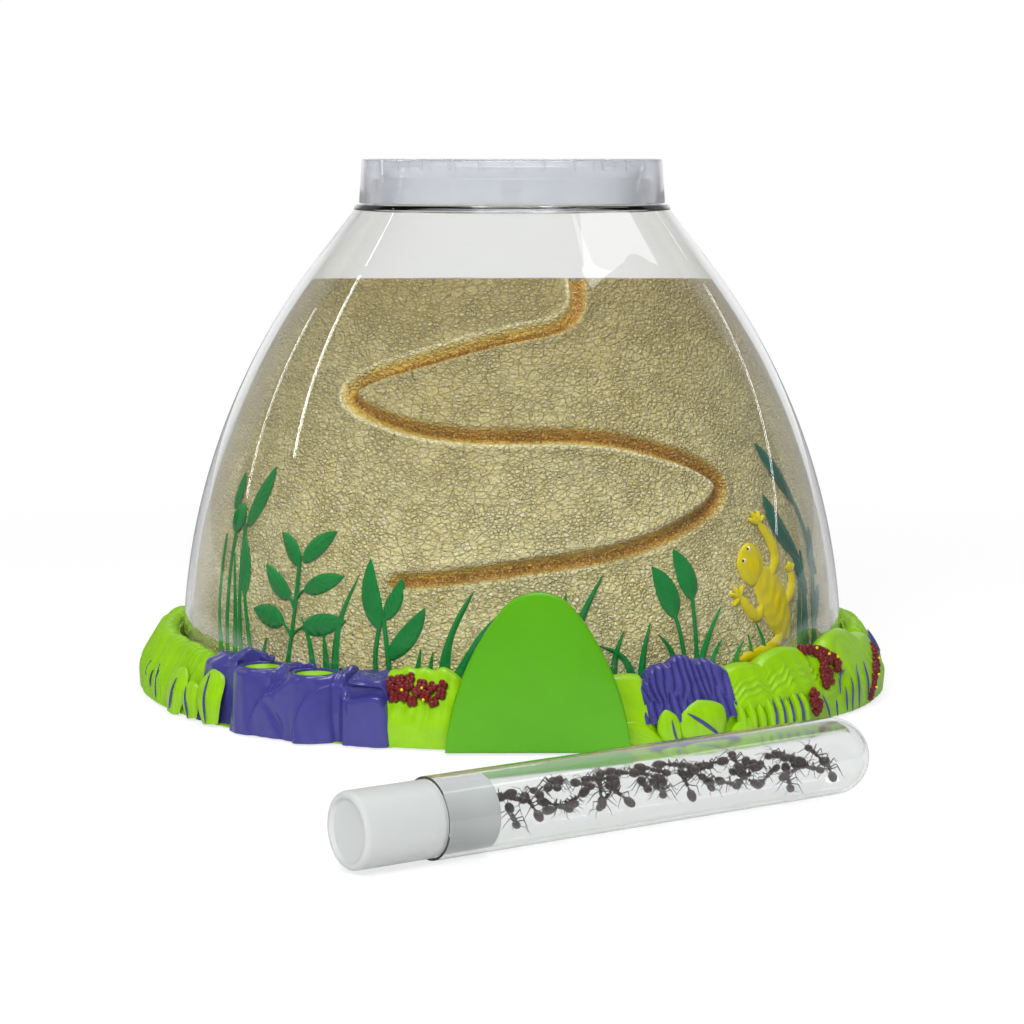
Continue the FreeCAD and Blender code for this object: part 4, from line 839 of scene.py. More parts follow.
def gecko_skins():
    """Gecko: head, neck, body, four visible limbs with spread fingers, and a curled tail."""
    skins = [
        strip(core_ground, ((44.4, 47.4), (45.1, 54.6), (44.9, 62.2)), 6.9, 1.7, "round",
              lambda s: pointed(s, 0.5), 0.2, along=34, around=26),
        strip(core_ground, ((46.0, 53.6), (49.6, 43.0), (53.4, 26.4)), 8.2, 1.7, "round",
              lambda s: pointed(s, 0.55), 0.2, scales, along=50, around=30),
        limb(((49.2, 49.0), (52.2, 56.0), (51.2, 62.8), (48.7, 68.8)), 2.2, 1.6),
        limb(((46.8, 41.0), (45.4, 36.6), (43.2, 40.2), (41.4, 44.6)), 2.2, 1.6),
        limb(((53.0, 39.0), (56.4, 45.5), (56.3, 50.2)), 2.3, 1.6),
        limb(((52.6, 33.0), (50.0, 26.0), (45.0, 23.4), (40.4, 22.4)), 2.7, 1.6, 0.45),
    ]
    hands = (((48.7, 68.0), ((46.6, 70.2), (47.8, 72.2), (49.6, 72.4), (51.0, 70.6))),
             ((41.5, 44.2), ((39.4, 45.6), (40.6, 47.6), (42.4, 48.2), (39.8, 41.4))),
             ((56.3, 49.4), ((54.9, 52.0), (56.2, 53.4), (57.7, 52.2))))
    for hand, tips in hands:
        for tip in tips:
            middle = ((hand[0] + tip[0]) / 2, (hand[1] + tip[1]) / 2)
            skins.append(limb((hand, middle, tip), 0.95, 1.2, 0.28))
    return skins


def ball(centre, radii, axes=None, rings=14, steps=20, bumps=None):
    """A ball: an ellipsoid on a grid of latitude and longitude, its poles closed by fans, with
    bumps added along the radius."""
    tilt = np.linspace(0.06, math.pi - 0.06, rings)[:, None]
    turn = all_round(steps)[None, :]
    swell = 1.0 if bumps is None else 1.0 + bumps(tilt, turn)
    unit = np.stack([np.sin(tilt) * np.cos(turn) * swell, np.sin(tilt) * np.sin(turn) * swell,
                     np.cos(tilt) * swell + 0.0 * turn], axis=-1)
    local = unit * np.asarray(radii, float)
    if axes is not None:
        local = local @ np.asarray(axes, float)
    return sheet_grid(local + np.asarray(centre, float))


EYES = ((44.7, 60.1), (43.2, 56.3))


def eye_skins(radius, lift, pupil):
    """Both eyes, or their pupils, which look out to the front left."""
    skins = []
    for azimuth, height in EYES:
        centre = put(core_ground, np.array(azimuth), np.array(height), np.array(lift))
        if pupil:
            centre = centre + np.array([-0.35, -0.55, 0.05])
        skins.append(ball(centre, (radius,) * 3))
    return skins


# ---------------------------------------------------------------- the base ring


def bank(start, end, top, swell, many, round_off, foot=0.3, up=30):
    """A closed block on the ring between two azimuths. Its section runs up the outer bank,
    over a rounded top at the height that top gives, and down inside; swell moves the outer
    face out by azimuth and share of the height. Both ends draw in over round_off degrees."""
    azimuth = np.linspace(start, end, many)
    from_end = np.minimum(azimuth - start, end - azimuth)
    close = np.clip(from_end / round_off, 0.0, 1.0)
    close = np.sqrt(1.0 - (1.0 - close) ** 2)[:, None]
    crest = np.asarray(top(azimuth))[:, None]
    share = np.linspace(0.0, 1.0, up)[None, :]
    height = foot + (crest - foot) * share
    reach = ring_ground(height) + swell(azimuth[:, None], share) * close
    lip = np.linspace(0.0, 1.0, 9)[None, 1:]
    last = reach[:, -1:]
    over = last + (RING_INNER + 0.6 - last) * lip
    over_height = crest + (1.5 * np.sin(math.pi * lip)
                           * np.clip((last - RING_INNER) / 6, 0.2, 1.0))
    over_height = over_height - 0.8 * lip
    inside = np.full((many, 1), RING_INNER + 0.4)
    radius = np.concatenate([reach, over, inside], axis=1)
    level = np.concatenate([height, over_height, np.full((many, 1), foot)], axis=1)
    level = foot + (level - foot) * (0.55 + 0.45 * close)
    return sheet_grid(round_points(radius, np.radians(azimuth)[:, None], level))


def step_up(value):
    """0 where the value is low and 1 where it is high: the logistic curve."""
    return 1.0 / (1.0 + np.exp(-value))


def hump(azimuth, centre, half):
    """A round hump: the upper half of an ellipse over azimuth."""
    return np.sqrt(np.clip(1.0 - ((azimuth - centre) / half) ** 2, 0.0, 1.0))


BAY = (-50.2, -16.7)  # azimuths between which the rock stands
COMB_STEP = 1.2  # degrees from ridge to ridge of the combed grass


def ring_skin():
    """The ring all round: a bank with long upright waves like combed grass, low through the
    bay of the rock, where only its foot lip runs on."""
    azimuth = np.concatenate([np.arange(-110.0, 111.0, 0.5), np.arange(113.0, 250.0, 1.5)])
    in_bay = (azimuth > BAY[0]) & (azimuth < BAY[1])
    wave = (0.35 * np.sin(2.1 * azimuth) + 0.25 * np.sin(3.3 * azimuth + 1.0)
            + 0.2 * np.sin(0.7 * azimuth))
    crest = np.where(in_bay, 0.6, RING_TOP + wave)[:, None]
    share = np.linspace(0.0, 1.0, 26)[None, :]
    height = 0.1 + (crest - 0.1) * share
    comb = 0.32 * np.sin(2.9 * azimuth[:, None] + 1.3 * np.sin(0.25 * height)) * share
    reach = np.where(in_bay[:, None], 141.4, ring_ground(height) + comb)
    lip = np.linspace(0.0, 1.0, 8)[None, 1:]
    last = reach[:, -1:]
    over = last + (RING_INNER - last) * lip
    over_height = crest + np.where(in_bay[:, None], 0.0, 0.9) * np.sin(math.pi * lip) - 0.4 * lip
    radius = np.concatenate([reach, over, np.full_like(last, RING_INNER)], axis=1)
    level = np.concatenate([height, over_height, np.full_like(last, 0.1)], axis=1)
    points = round_points(radius, np.radians(azimuth)[:, None], level)
    return sheet_grid(points, wrap_along=True)


def combed(azimuth, share):
    """Ridges of combed grass: the power of a cosine of azimuth whose phase drifts up the bank."""
    phase = math.pi / COMB_STEP * azimuth + 1.1 * np.sin(2.6 * share + 0.21 * azimuth)
    second = 0.16 * np.cos(2.3 * phase + 1.0)
    return np.abs(np.cos(phase)) ** 0.5 + second


def grass_bank_skins():
    """Combed grass over the left and the far right of the ring: fine ridges that run up the
    bank, over its shoulder and inward."""
    skins = []
    for start, end, tall, deep in ((-104.0, -54.6, 21.3, 2.0), (79.0, 103.0, 20.6, 1.1)):
        def top(a):
            lobes = 1.5 * np.abs(np.cos(0.42 * a + 0.5)) ** 0.7
            return tall - 0.9 + lobes + 0.6 * np.abs(np.cos(math.pi / COMB_STEP * a))

        def swell(a, s):
            return (deep * combed(a, s) - 0.1) * np.clip(0.6 + 0.9 * s, 0, 1)
        skins.append(bank(start, end, top, swell, int((end - start) * 12), round_off=2.0, up=34))
    return skins


def broad_leaf(spots, half_width, thick, ribs, seat):
    """A broad moulded leaf on the ring, with low ribs that spread from its foot, kept above
    the floor."""
    def carve(share, across):
        return 0.16 * np.cos(ribs * math.pi * across) * np.clip(3 * share, 0, 1)
    skin = strip(ring_ground, spots, half_width, thick, "leaf", leaf_or_lobe, seat, carve,
                 along=34, around=26)
    skin[0][:, 2] = np.maximum(skin[0][:, 2], 0.2)
    return skin


def leaf_or_lobe(share):
    """Width of a leaf that stands on a broad foot: full low down, pointed above."""
    return np.clip((0.55 + 0.9 * share) * (1.0 - share ** 3.2) ** 0.8, 0.0, 1.0)


def bank_leaf_skins():
    """Leaves that lie on the bank: three on the left, and lobes and blades on the right."""
    skins = [
        broad_leaf(((-47.6, 0.4), (-48.1, 7.0), (-49.3, 17.4)), 7.6, 2.2, 7, 2.8),
        broad_leaf(((-52.7, 0.4), (-53.1, 5.0), (-54.0, 12.2)), 5.6, 1.8, 3, 2.0),
        broad_leaf(((-58.2, 0.4), (-57.8, 6.0), (-57.0, 15.4)), 7.6, 2.0, 5, 2.4),
        broad_leaf(((20.4, 0.5), (17.8, 4.0), (14.4, 6.4)), 4.6, 1.8, 5, 1.6),
        broad_leaf(((22.8, 0.4), (22.0, 5.0), (21.4, 11.0)), 4.6, 1.8, 5, 2.6),
        broad_leaf(((28.0, 0.4), (27.2, 6.5), (26.6, 13.0)), 10.4, 2.0, 11, 2.4),
        broad_leaf(((34.6, 0.4), (34.0, 3.4), (33.6, 6.6)), 6.0, 1.8, 9, 2.2),
    ]
    number = np.arange(8)
    azimuths = 33.2 + 1.75 * number
    tips = 10.6 + 0.8 * np.sin(2.2 * number)
    for azimuth, tip in zip(azimuths, tips):
        skins.append(broad_leaf(((azimuth + 0.8, 0.4), (azimuth + 0.5, tip / 2), (azimuth, tip)),
                                2.0, 2.2, 1, 1.8))
    return skins


VEINS = (
    ((-47.6, 0.8), (-48.1, 7.0), (-49.0, 15.2), 0.45, 4.9),
    ((-52.6, 0.8), (-53.2, 5.0), (-53.9, 9.8), 0.45, 3.9),
    ((-57.9, 1.8), (-57.4, 6.0), (-57.0, 11.2), 0.45, 4.4),
    ((-66.0, 2.4), (-66.2, 8.4), (-67.6, 13.2), 0.34, 1.7),
    ((-68.9, 5.0), (-69.2, 8.0), (-69.0, 10.6), 0.20, 1.7),
    ((-72.5, 7.6), (-72.8, 10.0), (-72.6, 12.4), 0.18, 1.7),
    ((22.9, 1.0), (22.4, 4.0), (22.0, 8.4), 0.35, 4.3),
    ((29.9, 1.1), (26.8, 6.7), (24.4, 9.5), 0.50, 4.3),
    ((39.5, 1.0), (39.3, 6.0), (39.0, 10.6), 0.45, 3.9),
    ((41.2, 1.0), (40.9, 6.5), (40.5, 10.8), 0.45, 3.9),
    ((42.9, 1.0), (42.6, 6.0), (42.2, 10.2), 0.45, 3.9),
    ((45.1, 1.4), (44.6, 6.8), (44.0, 10.8), 0.45, 3.9),
    ((54.3, 7.7), (55.6, 12.0), (58.4, 13.9), 0.35, 3.4),
    ((60.2, 1.3), (60.5, 7.9), (62.6, 14.2), 0.28, 3.4),
    ((58.0, 0.9), (58.1, 6.2), (59.0, 11.2), 0.25, 3.3),
    ((56.6, 1.5), (56.4, 5.5), (56.5, 9.2), 0.35, 3.0),
    ((51.9, 0.7), (51.2, 4.9), (50.2, 8.8), 0.38, 2.6),
    ((53.9, 0.6), (53.7, 3.3), (53.6, 6.6), 0.35, 2.7),
    ((64.0, 3.0), (64.6, 9.0), (66.0, 14.0), 0.20, 3.2),
    ((79.0, 11.0), (79.6, 15.0), (80.4, 19.0), 0.20, 1.6),
    ((81.4, 11.0), (82.2, 15.4), (82.6, 19.4), 0.18, 1.6),
    ((84.0, 11.0), (84.8, 15.0), (85.0, 19.0), 0.18, 1.6),
)


def vein_skins():
    """Narrow slits in the leaves through which the under layer shows: flush pointed strips."""
    return [strip(ring_ground, spots, half * 1.25, 0.5, "round", pointed, seat, along=16, around=7)
            for *spots, half, seat in VEINS]


def wrinkles(azimuth, share):
    """Fine level wavy folds in the upper part: a sine of the height, about 2 mm from crest to
    crest, whose phase drifts with azimuth, sharpened to crests."""
    where = np.exp(-((share - 0.70) / 0.13) ** 2)
    drift = 1.6 * np.sin(0.80 * azimuth) + 0.8 * np.sin(1.9 * azimuth + 1.0)
    return 0.7 * where * (0.5 - np.abs(np.sin(32.0 * share + drift)) ** 0.8)


def shrub_skins():
    """Green foliage humps: beside the shield, the cabbages on the right and the far bushes."""
    def left_top(a):
        return 21.4 + 3.4 * np.maximum.reduce([hump(a, -14.6, 4.6), hump(a, -10.4, 3.8)]) \
            + 0.4 * np.sin(2.3 * a)

    def left_swell(a, s):
        body = np.maximum(hump(a, -14.8, 5.6), 0.9 * hump(a, -9.6, 4.4))
        facet = 0.5 * np.abs(np.sin(0.9 * a + 2.0 * s)) + 0.35 * np.abs(np.sin(1.7 * a - 4 * s))
        return (2.2 * body + facet) * np.clip(0.35 + 1.3 * s, 0, 1)

    def small_top(a):
        return 20.4 + 2.0 * hump(a, 16.8, 3.6)

    def small_swell(a, s):
        fold = np.abs(np.sin(0.55 * a + 5.2 * s))
        return 1.2 + 0.9 * fold * np.clip(1.4 - s, 0, 1)

    def cabbage_top(a):
        return 17.6 + np.maximum.reduce([5.2 * hump(a, 36.8, 5.2), 8.0 * hump(a, 46.0, 7.0),
                                         3.6 * hump(a, 54.0, 4.6)])

    def cabbage_swell(a, s):
        body = np.maximum.reduce([hump(a, 36.8, 5.8), 1.1 * hump(a, 45.6, 6.6),
                                  0.8 * hump(a, 54.0, 4.4)])
        shelf = step_up(26.0 * (s - 0.40))
        return 0.6 + (2.7 * body ** 0.8 + wrinkles(a, s)) * shelf \
            + 0.14 * np.sin(2.1 * a + 4 * s) * shelf

    def far_top(a):
        return 17.0 + np.maximum.reduce([9.4 * hump(a, 63.6, 8.4), 4.2 * hump(a, 74.2, 6.4)])

    def far_swell(a, s):
        body = np.maximum(hump(a, 63.4, 8.6), 0.75 * hump(a, 74.0, 7.4))
        away = np.hypot((a - 62.0) * 2.4, (s - 0.55) * 26.0)
        rings = 0.35 * np.abs(np.sin(0.62 * away)) * np.clip(2.2 * s - 0.6, 0, 1)
        comb = 0.42 * np.abs(np.sin(1.25 * a + 0.8 * np.sin(3 * s))) * np.clip(1.5 - 1.6 * s, 0, 1)
        return (2.9 * body ** 0.7 + comb + rings) * np.clip(0.6 + s, 0, 1)

    return [
        bank(-20.6, -6.6, left_top, left_swell, 110, round_off=3.0),
        bank(13.6, 20.4, small_top, small_swell, 60, round_off=1.5),
        bank(31.6, 57.6, cabbage_top, cabbage_swell, 260, round_off=2.5, up=110),
        bank(54.8, 81.4, far_top, far_swell, 260, round_off=4.0, up=50),
    ]


def fern_skins():
    """Purple fern: upright fronds side by side in two layers, under a peaked top."""
    def top(a):
        return 20.6 + np.maximum.reduce([7.0 * hump(a, 26.0, 2.9), 4.6 * hump(a, 22.8, 3.0),
                                         5.2 * hump(a, 29.8, 2.6), 2.4 * hump(a, 32.0, 1.8)])

    def swell(a, s):
        twist = 1.1 * np.sin(4.0 * s + 0.8 * a) + 0.4 * np.sin(9 * s + a)
        frond = np.abs(np.cos(2.7 * a + twist)) ** 0.55
        lower = np.abs(np.cos(2.5 * a + 0.7 + 0.6 * np.sin(3 * s))) ** 0.55
        upper = step_up(30.0 * (s - 0.45 - 0.12 * np.sin(1.7 * a)))
        return 1.2 + 2.0 * frond * upper + 2.0 * lower * (1 - upper) + 0.9 * upper
    return [bank(18.4, 33.8, top, swell, 380, round_off=1.2, foot=8.0, up=64)]


def berry_bumps(tilt, turn):
    """Drupelets: the product of two sines over the ball."""
    return 0.10 * np.sin(5 * turn) * np.sin(5 * tilt)


def berry_skins(spots, radius, lift, many=1):
    """Round berries over the foliage, each a bunch of as many drupes as told."""
    skins = []
    for number, (azimuth, height, more) in enumerate(spots):
        for turn in 1.1 * number + 2 * math.pi * np.arange(many) / many:
            away = 0.0 if many == 1 else 0.95
            centre = put(ring_ground, np.array(azimuth + 0.42 * away * math.cos(turn)),
                         np.array(height + away * math.sin(turn)),
                         np.array(lift + more + 0.3 * away * math.sin(3.1 * turn)))
            skins.append(ball(centre, (radius,) * 3, rings=9, steps=12, bumps=berry_bumps))
    return skins


FRONT_BERRIES = (  # azimuth, height, extra lift
    (-17.6, 20.0, 0.0), (-16.2, 20.6, 0.3), (-17.4, 17.6, 0.2), (-16.0, 18.0, 0.6),
    (-14.7, 19.0, 0.6), (-16.6, 15.4, 0.3), (-15.2, 15.8, 0.6), (-13.4, 17.2, 0.6),
    (-13.9, 14.4, 0.3), (-12.2, 16.2, 0.3), (-11.4, 18.8, 0.3), (-10.9, 14.6, 0.0),
    (-10.0, 17.0, 0.1), (-9.9, 19.4, 0.0), (-14.8, 21.4, 0.0), (-12.9, 19.6, 0.2))
RIGHT_BERRIES = (
    (50.4, 23.4, -0.6), (51.8, 23.0, -0.2), (53.2, 22.2, 0.0), (54.6, 21.4, 0.1),
    (53.4, 20.4, 0.1), (55.6, 20.0, 0.2), (56.8, 18.6, 0.1), (55.2, 18.4, 0.2),
    (57.8, 17.0, 0.0), (57.0, 15.4, -0.1), (53.8, 18.4, 0.2), (53.4, 16.6, 0.2),
    (52.4, 15.2, 0.2), (54.0, 14.6, 0.1), (52.2, 13.4, 0.1), (53.4, 12.4, 0.0),
    (51.8, 11.6, 0.0), (48.0, 9.6, 0.5), (47.6, 7.6, 0.5), (48.8, 6.8, 0.5), (48.2, 4.8, 0.3))
SIDE_BERRIES = (
    (76.4, 15.2, -0.6), (75.0, 13.8, -0.5), (73.6, 12.6, -0.4), (72.2, 11.4, -0.3),
    (70.8, 10.2, -0.3), (69.4, 9.0, -0.3), (68.0, 7.8, -0.3), (67.2, 6.2, -0.4),
    (66.6, 4.6, -0.5), (66.2, 3.0, -0.6))
BERRY_DOTS = ((-15.4, 17.0, 2.0), (-12.6, 17.9, 1.9), (-12.2, 14.4, 1.7), (52.8, 22.4, 1.4),
              (55.0, 19.6, 1.7), (57.0, 18.0, 1.6), (72.8, 12.0, 1.0), (69.0, 8.6, 1.0),
              (67.0, 5.6, 0.9))


# ---------------------------------------------------------------- the rock


def below(level, height, soft):
    """1 under a level and 0 over it, by a logistic curve of a softness in millimetres."""
    return step_up(-np.clip((height - level) / soft, -40.0, 40.0))


ROCK = (-53.6, -17.0)  # azimuths of its two ends
ROCK_FACE = 138.0  # radius about which its face swells
SOCKETS = (-40.0, -30.2)
SOCKET_CIRCLE = 134.15


def rock_skins():
    """Rock: a shelf with hollows and ledges between folded flanks, a half-column under each
    socket, a folded mass between them, small knobs behind, and two bored collars."""
    start, end = ROCK
    azimuth = np.linspace(start, end, 340)
    close = np.clip(np.minimum(azimuth - start, end - azimuth) / 1.6, 0, 1)
    close = np.sqrt(1 - (1 - close) ** 2)[:, None]
    a = azimuth[:, None]
    share = np.linspace(0.0, 1.0, 90)[None, :]
    around = np.maximum(hump(azimuth, -40.0, 6.0), hump(azimuth, -30.2, 5.8)) ** 0.35
    crest = (18.4 + 3.9 * around + 3.6 * hump(azimuth, -48.6, 6.4)
             + 4.0 * hump(azimuth, -20.4, 5.0) + 0.25 * np.sin(1.9 * azimuth))[:, None]
    height = 0.2 + (crest - 0.2) * share
    columns = np.zeros_like(a * share)
    for at in SOCKETS:
        turn = np.radians(a - at)
        wide = 12.6 - 2.0 * share + 0.22 * np.sin(1.5 * (a - at))
        inside = wide ** 2 - (SOCKET_CIRCLE * np.sin(turn) * np.where(turn < 0, 1.22, 1.0)) ** 2
        bulge = SOCKET_CIRCLE * np.cos(turn) + np.sqrt(np.clip(inside, 0.0, None)) - ROCK_FACE
        columns = np.maximum(columns, np.where(inside > 0, bulge, 0.0))
    line = np.interp(azimuth, (-39.6, -38.8, -37.5, -36.0, -33.6, -32.2, -30.6),
                     (-3.0, 3.0, 11.5, 15.6, 18.4, 21.0, 24.0))[:, None]
    middle = hump(a, -35.2, 5.4) ** 0.5 * (3.2 + 4.4 * below(line, height, 0.55))
    middle = middle - 1.0 * np.exp(-((a + 34.0 + 0.30 * (height - 8.0)) / 0.9) ** 2) \
        * below(13.0, height, 1.5)
    curl_line = np.interp(azimuth, (-30.6, -29.4, -28.5, -27.2, -25.9, -24.6, -23.5, -22.9),
                          (4.0, 12.6, 16.2, 18.8, 19.9, 19.6, 17.2, 12.0))[:, None]
    curl = 1.5 * below(curl_line, height, 0.30) * np.clip((a + 30.8) / 0.9, 0, 1) \
        * np.clip((-22.6 - a) / 0.9, 0, 1)
    right = np.clip((a + 24.6) / 1.8, 0.0, 1.0)
    ledges = 0.5 * np.sin(3.6 * height + 0.8 * a) * (1.0 - below(20.4, height, 0.4))
    block = right * (4.6 * below(16.9 + 0.7 * np.sin(0.9 * a), height, 0.35)
                     + 2.6 * (1.0 - below(20.3, height, 0.25)) + ledges)
    flank = np.clip((-45.5 - a) / 3.0, 0.0, 1.0)
    side = flank * (1.8 - 2.4 * share + 0.8 * np.sin(5 * share + 0.7 * a))
    fine = 0.16 * np.sin(2.9 * a + 2.2 * np.sin(3 * share)) * np.clip(1.2 - share, 0, 1)
    edge = 1.3 * np.clip((share - 0.92) / 0.08, 0, 1) ** 2
    body = np.logaddexp(1.6 * np.maximum(columns, 0.6), 1.6 * middle) / 1.6
    reach = ROCK_FACE + body + curl + block + side + fine - edge
    reach = reach - 2.2 * np.clip(share - 0.45, 0, 1) * (1 - np.clip(columns, 0, 1)) * (1 - right)
    reach = RING_INNER + 2.0 + (reach - RING_INNER - 2.0) * (0.80 + 0.20 * close)
    inward = np.linspace(0.0, 1.0, 34)[None, 1:]
    last = reach[:, -1:]
    over = last + (RING_INNER + 0.25 - last) * inward
    dome = np.sin(math.pi * inward)
    shelf = (crest + dome + 1.3 * inward + 0.45 * np.sin(0.9 * a + 7 * inward) * dome
             + 0.30 * np.sin(2.3 * a - 5 * inward) * dome)
    east = over * np.sin(np.radians(a))
    north = -over * np.cos(np.radians(a))
    for at in SOCKETS:
        away = np.hypot(east - SOCKET_CIRCLE * math.sin(math.radians(at)),
                        north + SOCKET_CIRCLE * math.cos(math.radians(at)))
        shelf = np.minimum(shelf, 12.5 + 60.0 * np.clip(away / 7.9 - 1.0, 0, 1))
    radius = np.concatenate([reach, over, np.full_like(last, RING_INNER + 0.25)], axis=1)
    level = np.concatenate([height, shelf, np.full_like(last, 0.2)], axis=1)
    level = 0.2 + (level - 0.2) * (0.35 + 0.65 * close)
    skins = [sheet_grid(round_points(radius, np.radians(a), level))]
    skins += [ringed(COLLAR, at, 72) for at in SOCKETS]
    for at, circle, high, size in ((-42.9, 127.9, 23.4, 2.4), (-41.0, 127.9, 23.7, 1.6),
                                   (-35.2, 128.6, 22.6, 3.8), (-32.6, 128.4, 23.0, 2.2),
                                   (-50.0, 128.6, 21.8, 4.6), (-25.0, 128.8, 21.6, 4.0),
                                   (-21.4, 129.6, 22.2, 4.0), (-46.6, 129.0, 22.4, 3.4)):
        spot = (circle * math.sin(math.radians(at)), -circle * math.cos(math.radians(at)), high)
        skins.append(ball(spot, (size, 0.9, 1.2), rings=16, steps=24,
                          axes=turned_axes(at), bumps=rock_bumps))
    return skins


COLLAR = soften([(11.0, 2.0), (10.0, 17.5), (9.4, 21.9), (8.7, 22.6), (6.95, 22.6),
                 (6.65, 22.2), (6.65, 15.1), (0.02, 15.0), (0.02, 14.0), (9.0, 2.0)],
                [0.3, 2.5, 0.8, 0.5, 0.2, 0.3, 0.3, 0.0, 0.0, 0.3])
LINING = np.array([(6.62, 15.1), (6.62, 21.7), (6.40, 21.7), (6.40, 15.3), (0.02, 15.3),
                   (0.02, 15.1)])


def lining_skins():
    """Green lining of the two sockets: a thin cup in each bore."""
    return [ringed(LINING, at, 60) for at in SOCKETS]


def ringed(outline, azimuth, steps):
    """A closed outline of radius and height turned about a socket's upright axis; what would
    cross the ring's inner face is pushed out to it."""
    turn = all_round(steps)[:, None]
    centre = math.radians(azimuth)
    radius = outline[None, :, 0]
    x = SOCKET_CIRCLE * math.sin(centre) + radius * np.sin(turn)
    y = -SOCKET_CIRCLE * math.cos(centre) - radius * np.cos(turn)
    back = np.hypot(x, y)
    keep = np.maximum(back, RING_INNER + 0.3) / back
    points = np.stack([x * keep, y * keep, outline[None, :, 1] + 0.0 * turn], axis=-1)
    return sheet_grid(points, wrap_along=True)


def rock_bumps(tilt, turn):
    """Soft dents on the small knobs."""
    return 0.13 * np.sin(3 * turn + 1.0) * np.sin(4 * tilt) + 0.05 * np.sin(7 * turn)


def turned_axes(azimuth):
    """Rows of the axes that point along, out from and up the ring at an azimuth."""
    turn = math.radians(azimuth)
    return ((math.cos(turn), math.sin(turn), 0), (math.sin(turn), -math.cos(turn), 0), (0, 0, 1))


# ---------------------------------------------------------------- the shield


def arc(start, end, radius, many):
    """Points on the circle of a radius through two points, bulging to the right of the way."""
    start, end = np.asarray(start, float), np.asarray(end, float)
    half = (end - start) / 2
    reach = np.linalg.norm(half)
    left = np.array([-half[1], half[0]]) / reach
    centre = start + half + left * math.sqrt(radius ** 2 - reach ** 2)
    first = math.atan2(*(start - centre)[::-1])
    last = math.atan2(*(end - centre)[::-1])
    turn = np.linspace(first, last + (2 * math.pi if last < first else 0.0), many)
    return centre + radius * np.stack([np.cos(turn), np.sin(turn)], axis=-1)


SHIELD_X = 8.7


def upright(outline, depth):
    """A flat outline stood up about the shield's middle, at a depth."""
    return np.column_stack([outline[:, 0] + SHIELD_X, np.full(len(outline), depth),
                            outline[:, 1]])


def shield_skins():
    """Shield: two long arcs and a small crown arc, a slightly domed face, a round edge, and
    the boss behind it."""
    right = arc((31.0, 0.3), (12.0, 48.6), 88.0, 46)
    crown = arc((12.0, 48.6), (-12.0, 48.6), 15.5, 34)
    left = right[::-1] * np.array([-1.0, 1.0])
    base = np.stack([np.linspace(-31.0, 31.0, 40), np.full(40, 0.3)], axis=-1)
    outline = np.concatenate([right[:-1], crown[:-1], left[:-1], base[:-1]])
    middle = np.array([0.0, 21.0])
    inward = middle - outline
    reach = np.linalg.norm(inward, axis=1, keepdims=True)
    inward = inward / reach
    front, back = -145.7, -142.1
    steps = ((0.9, back), (0.15, back - 0.15), (0.0, back - 0.9), (0.0, front + 1.1),
             (0.10, front + 0.62), (0.34, front + 0.26), (0.72, front + 0.06), (1.2, front))
    rows = [upright(outline + inward * inset, depth) for inset, depth in steps]
    for part in np.linspace(0.1, 0.95, 12):
        spot = outline + inward * (1.2 + (reach - 1.2) * part)
        rows.append(upright(spot, front - 0.5 * (1 - (1 - part) ** 2)))
    plate = sheet_grid(np.stack(rows))
    boss = soften([(-17.0, 0.3), (17.0, 0.3), (17.0, 8.0), (-17.0, 8.0)], 0.8)
    levels = [upright(boss, depth) for depth in (-140.5, -143.4)]
    return [plate, sheet_grid(np.stack(levels))]


# ---------------------------------------------------------------- the tube of ants

TUBE_START = np.array([-45.887, -302.471, 12.0])
TUBE_TURN = math.radians(34.3)
TUBE_WAY = np.array([math.cos(TUBE_TURN), math.sin(TUBE_TURN), 0.0])
TUBE_SIDE = np.array([-math.sin(TUBE_TURN), math.cos(TUBE_TURN), 0.0])
UP = np.array([0.0, 0.0, 1.0])
TUBE_RADIUS, BORE_RADIUS = 12.0, 11.2
BALL_END = 175.6  # how far along the tube its round end begins


def along_tube(outline, steps, wave=None):
    """A closed outline of place along the tube and radius, carried round the tube's axis; wave
    adds to the radius by angle."""
    turn = all_round(steps)[:, None]
    place, radius = outline[None, :, 0], outline[None, :, 1]
    if wave is not None:
        radius = radius + wave(turn, place, radius)
    points = (TUBE_START + (place + 0.0 * turn)[..., None] * TUBE_WAY
              + (radius * np.cos(turn))[..., None] * TUBE_SIDE
              + (radius * np.sin(turn))[..., None] * UP)
    return sheet_grid(points, wrap_along=True)


def tube_skins(steps):
    """Clear tube: wall, a small rim at its mouth and a half-ball end, inside and out."""
    end = np.linspace(0.0, math.pi / 2, 22)[1:] * 0.998
    outer = np.stack([BALL_END + TUBE_RADIUS * np.sin(end), TUBE_RADIUS * np.cos(end)], axis=-1)
    inner = np.stack([BALL_END + BORE_RADIUS * np.sin(end[::-1]),
                      BORE_RADIUS * np.cos(end[::-1])], axis=-1)
    way = np.linspace(30.0, BALL_END, 30)
    straight = np.stack([way, np.full(30, TUBE_RADIUS)], axis=-1)
    back = np.stack([way[::-1], np.full(30, BORE_RADIUS)], axis=-1)
    rim = np.array([(28.0, 11.2), (26.75, 11.2), (26.6, 11.35), (26.6, 11.8), (26.8, 12.0),
                    (28.4, 12.0)])
    return [along_tube(np.concatenate([straight, outer, inner, back, rim]), steps)]


